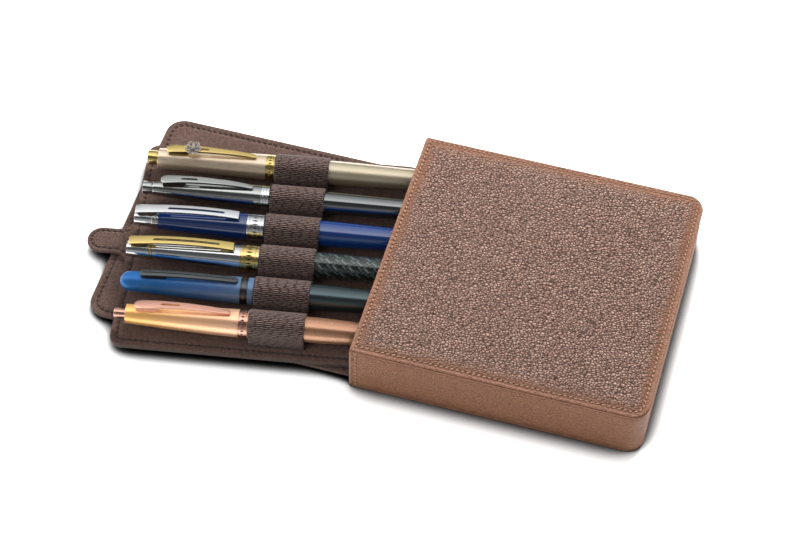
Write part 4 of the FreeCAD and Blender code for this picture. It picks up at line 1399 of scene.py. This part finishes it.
world = bpy.data.worlds.new("studio")
bpy.context.scene.world = world
world.use_nodes = True
tree = world.node_tree
background = tree.nodes["Background"]
_, forward, height = split(tree, node(tree, "ShaderNodeTexCoord").outputs["Generated"])
sky = ramp(height * 0.5 + 0.5, [(0.0, 1.0), (0.5, 1.0), (0.75, 0.9), (1.0, 0.8)])
# What shiny things see, from the front horizon over the top to the back horizon
angle = maths(tree, "ARCTAN2", height, forward * -1.0)
mirrored = ramp(angle / math.pi, [(0.0, 1.1), (0.14, 1.0), (0.22, 0.3), (0.4, 0.2),
                (0.43, 5.0), (0.5, 5.0), (0.6, 3.6), (0.7, 2.5), (0.82, 1.6), (0.87, 0.5),
                (1.0, 0.3)])
path = node(tree, "ShaderNodeLightPath").outputs
seen = blend(Flow(tree, path["Is Glossy Ray"]), sky, mirrored)
feed(tree, background.inputs["Color"], blend(Flow(tree, path["Is Camera Ray"]), seen,
                                             (1, 1, 1, 1)))
background.inputs["Strength"].default_value = 0.42

for name, place, target, size, energy, shiny in (
        ("softboxBack", (0.05, 0.84, 0.66), (-0.05, 0, 0), (0.7, 0.3), 25.0, False),
        ("softboxLeft", (-0.85, -0.1, 0.55), (-0.05, 0, 0), (0.5, 0.7), 1.8, True),
        ("fillFront", (-0.5, -0.6, 0.6), (0.02, -0.05, 0), (0.5, 0.4), 3.4, False)):
    light = bpy.data.lights.new(name, "AREA")
    light.shape = "RECTANGLE"
    light.size, light.size_y = size
    light.energy = energy
    made = linkObject(name, light)
    made.location = place
    made.visible_glossy = shiny
    aim = Vector(target) - Vector(place)
    made.rotation_euler = aim.to_track_quat("-Z", "Y").to_euler()

view = {"azimuth": 14.69, "elevation": 52.425, "roll": 1.318, "distance": 1.1994,
        "target": (-0.06369, 0.00188, 0.0), "lens": 113.11}
az, el, roll = (math.radians(view[key]) for key in ("azimuth", "elevation", "roll"))
outward = Vector((math.sin(az) * math.cos(el), -math.cos(az) * math.cos(el), math.sin(el)))
right = Vector((math.cos(az), math.sin(az), 0))
upward = outward.cross(right)
basis = Matrix((right * math.cos(roll) + upward * math.sin(roll),
                upward * math.cos(roll) - right * math.sin(roll), outward))
lens = bpy.data.cameras.new("camera")
lens.lens, lens.sensor_width, lens.sensor_fit = view["lens"], 36.0, "HORIZONTAL"
lens.clip_start, lens.clip_end = 0.05, 20.0
camera = linkObject("camera", lens)
camera.matrix_world = Matrix.Translation(
    Vector(view["target"]) + outward * view["distance"]) @ basis.transposed().to_4x4()
bpy.context.scene.camera = camera
bpy.context.scene.view_settings.view_transform = "Standard"
print("stage done")
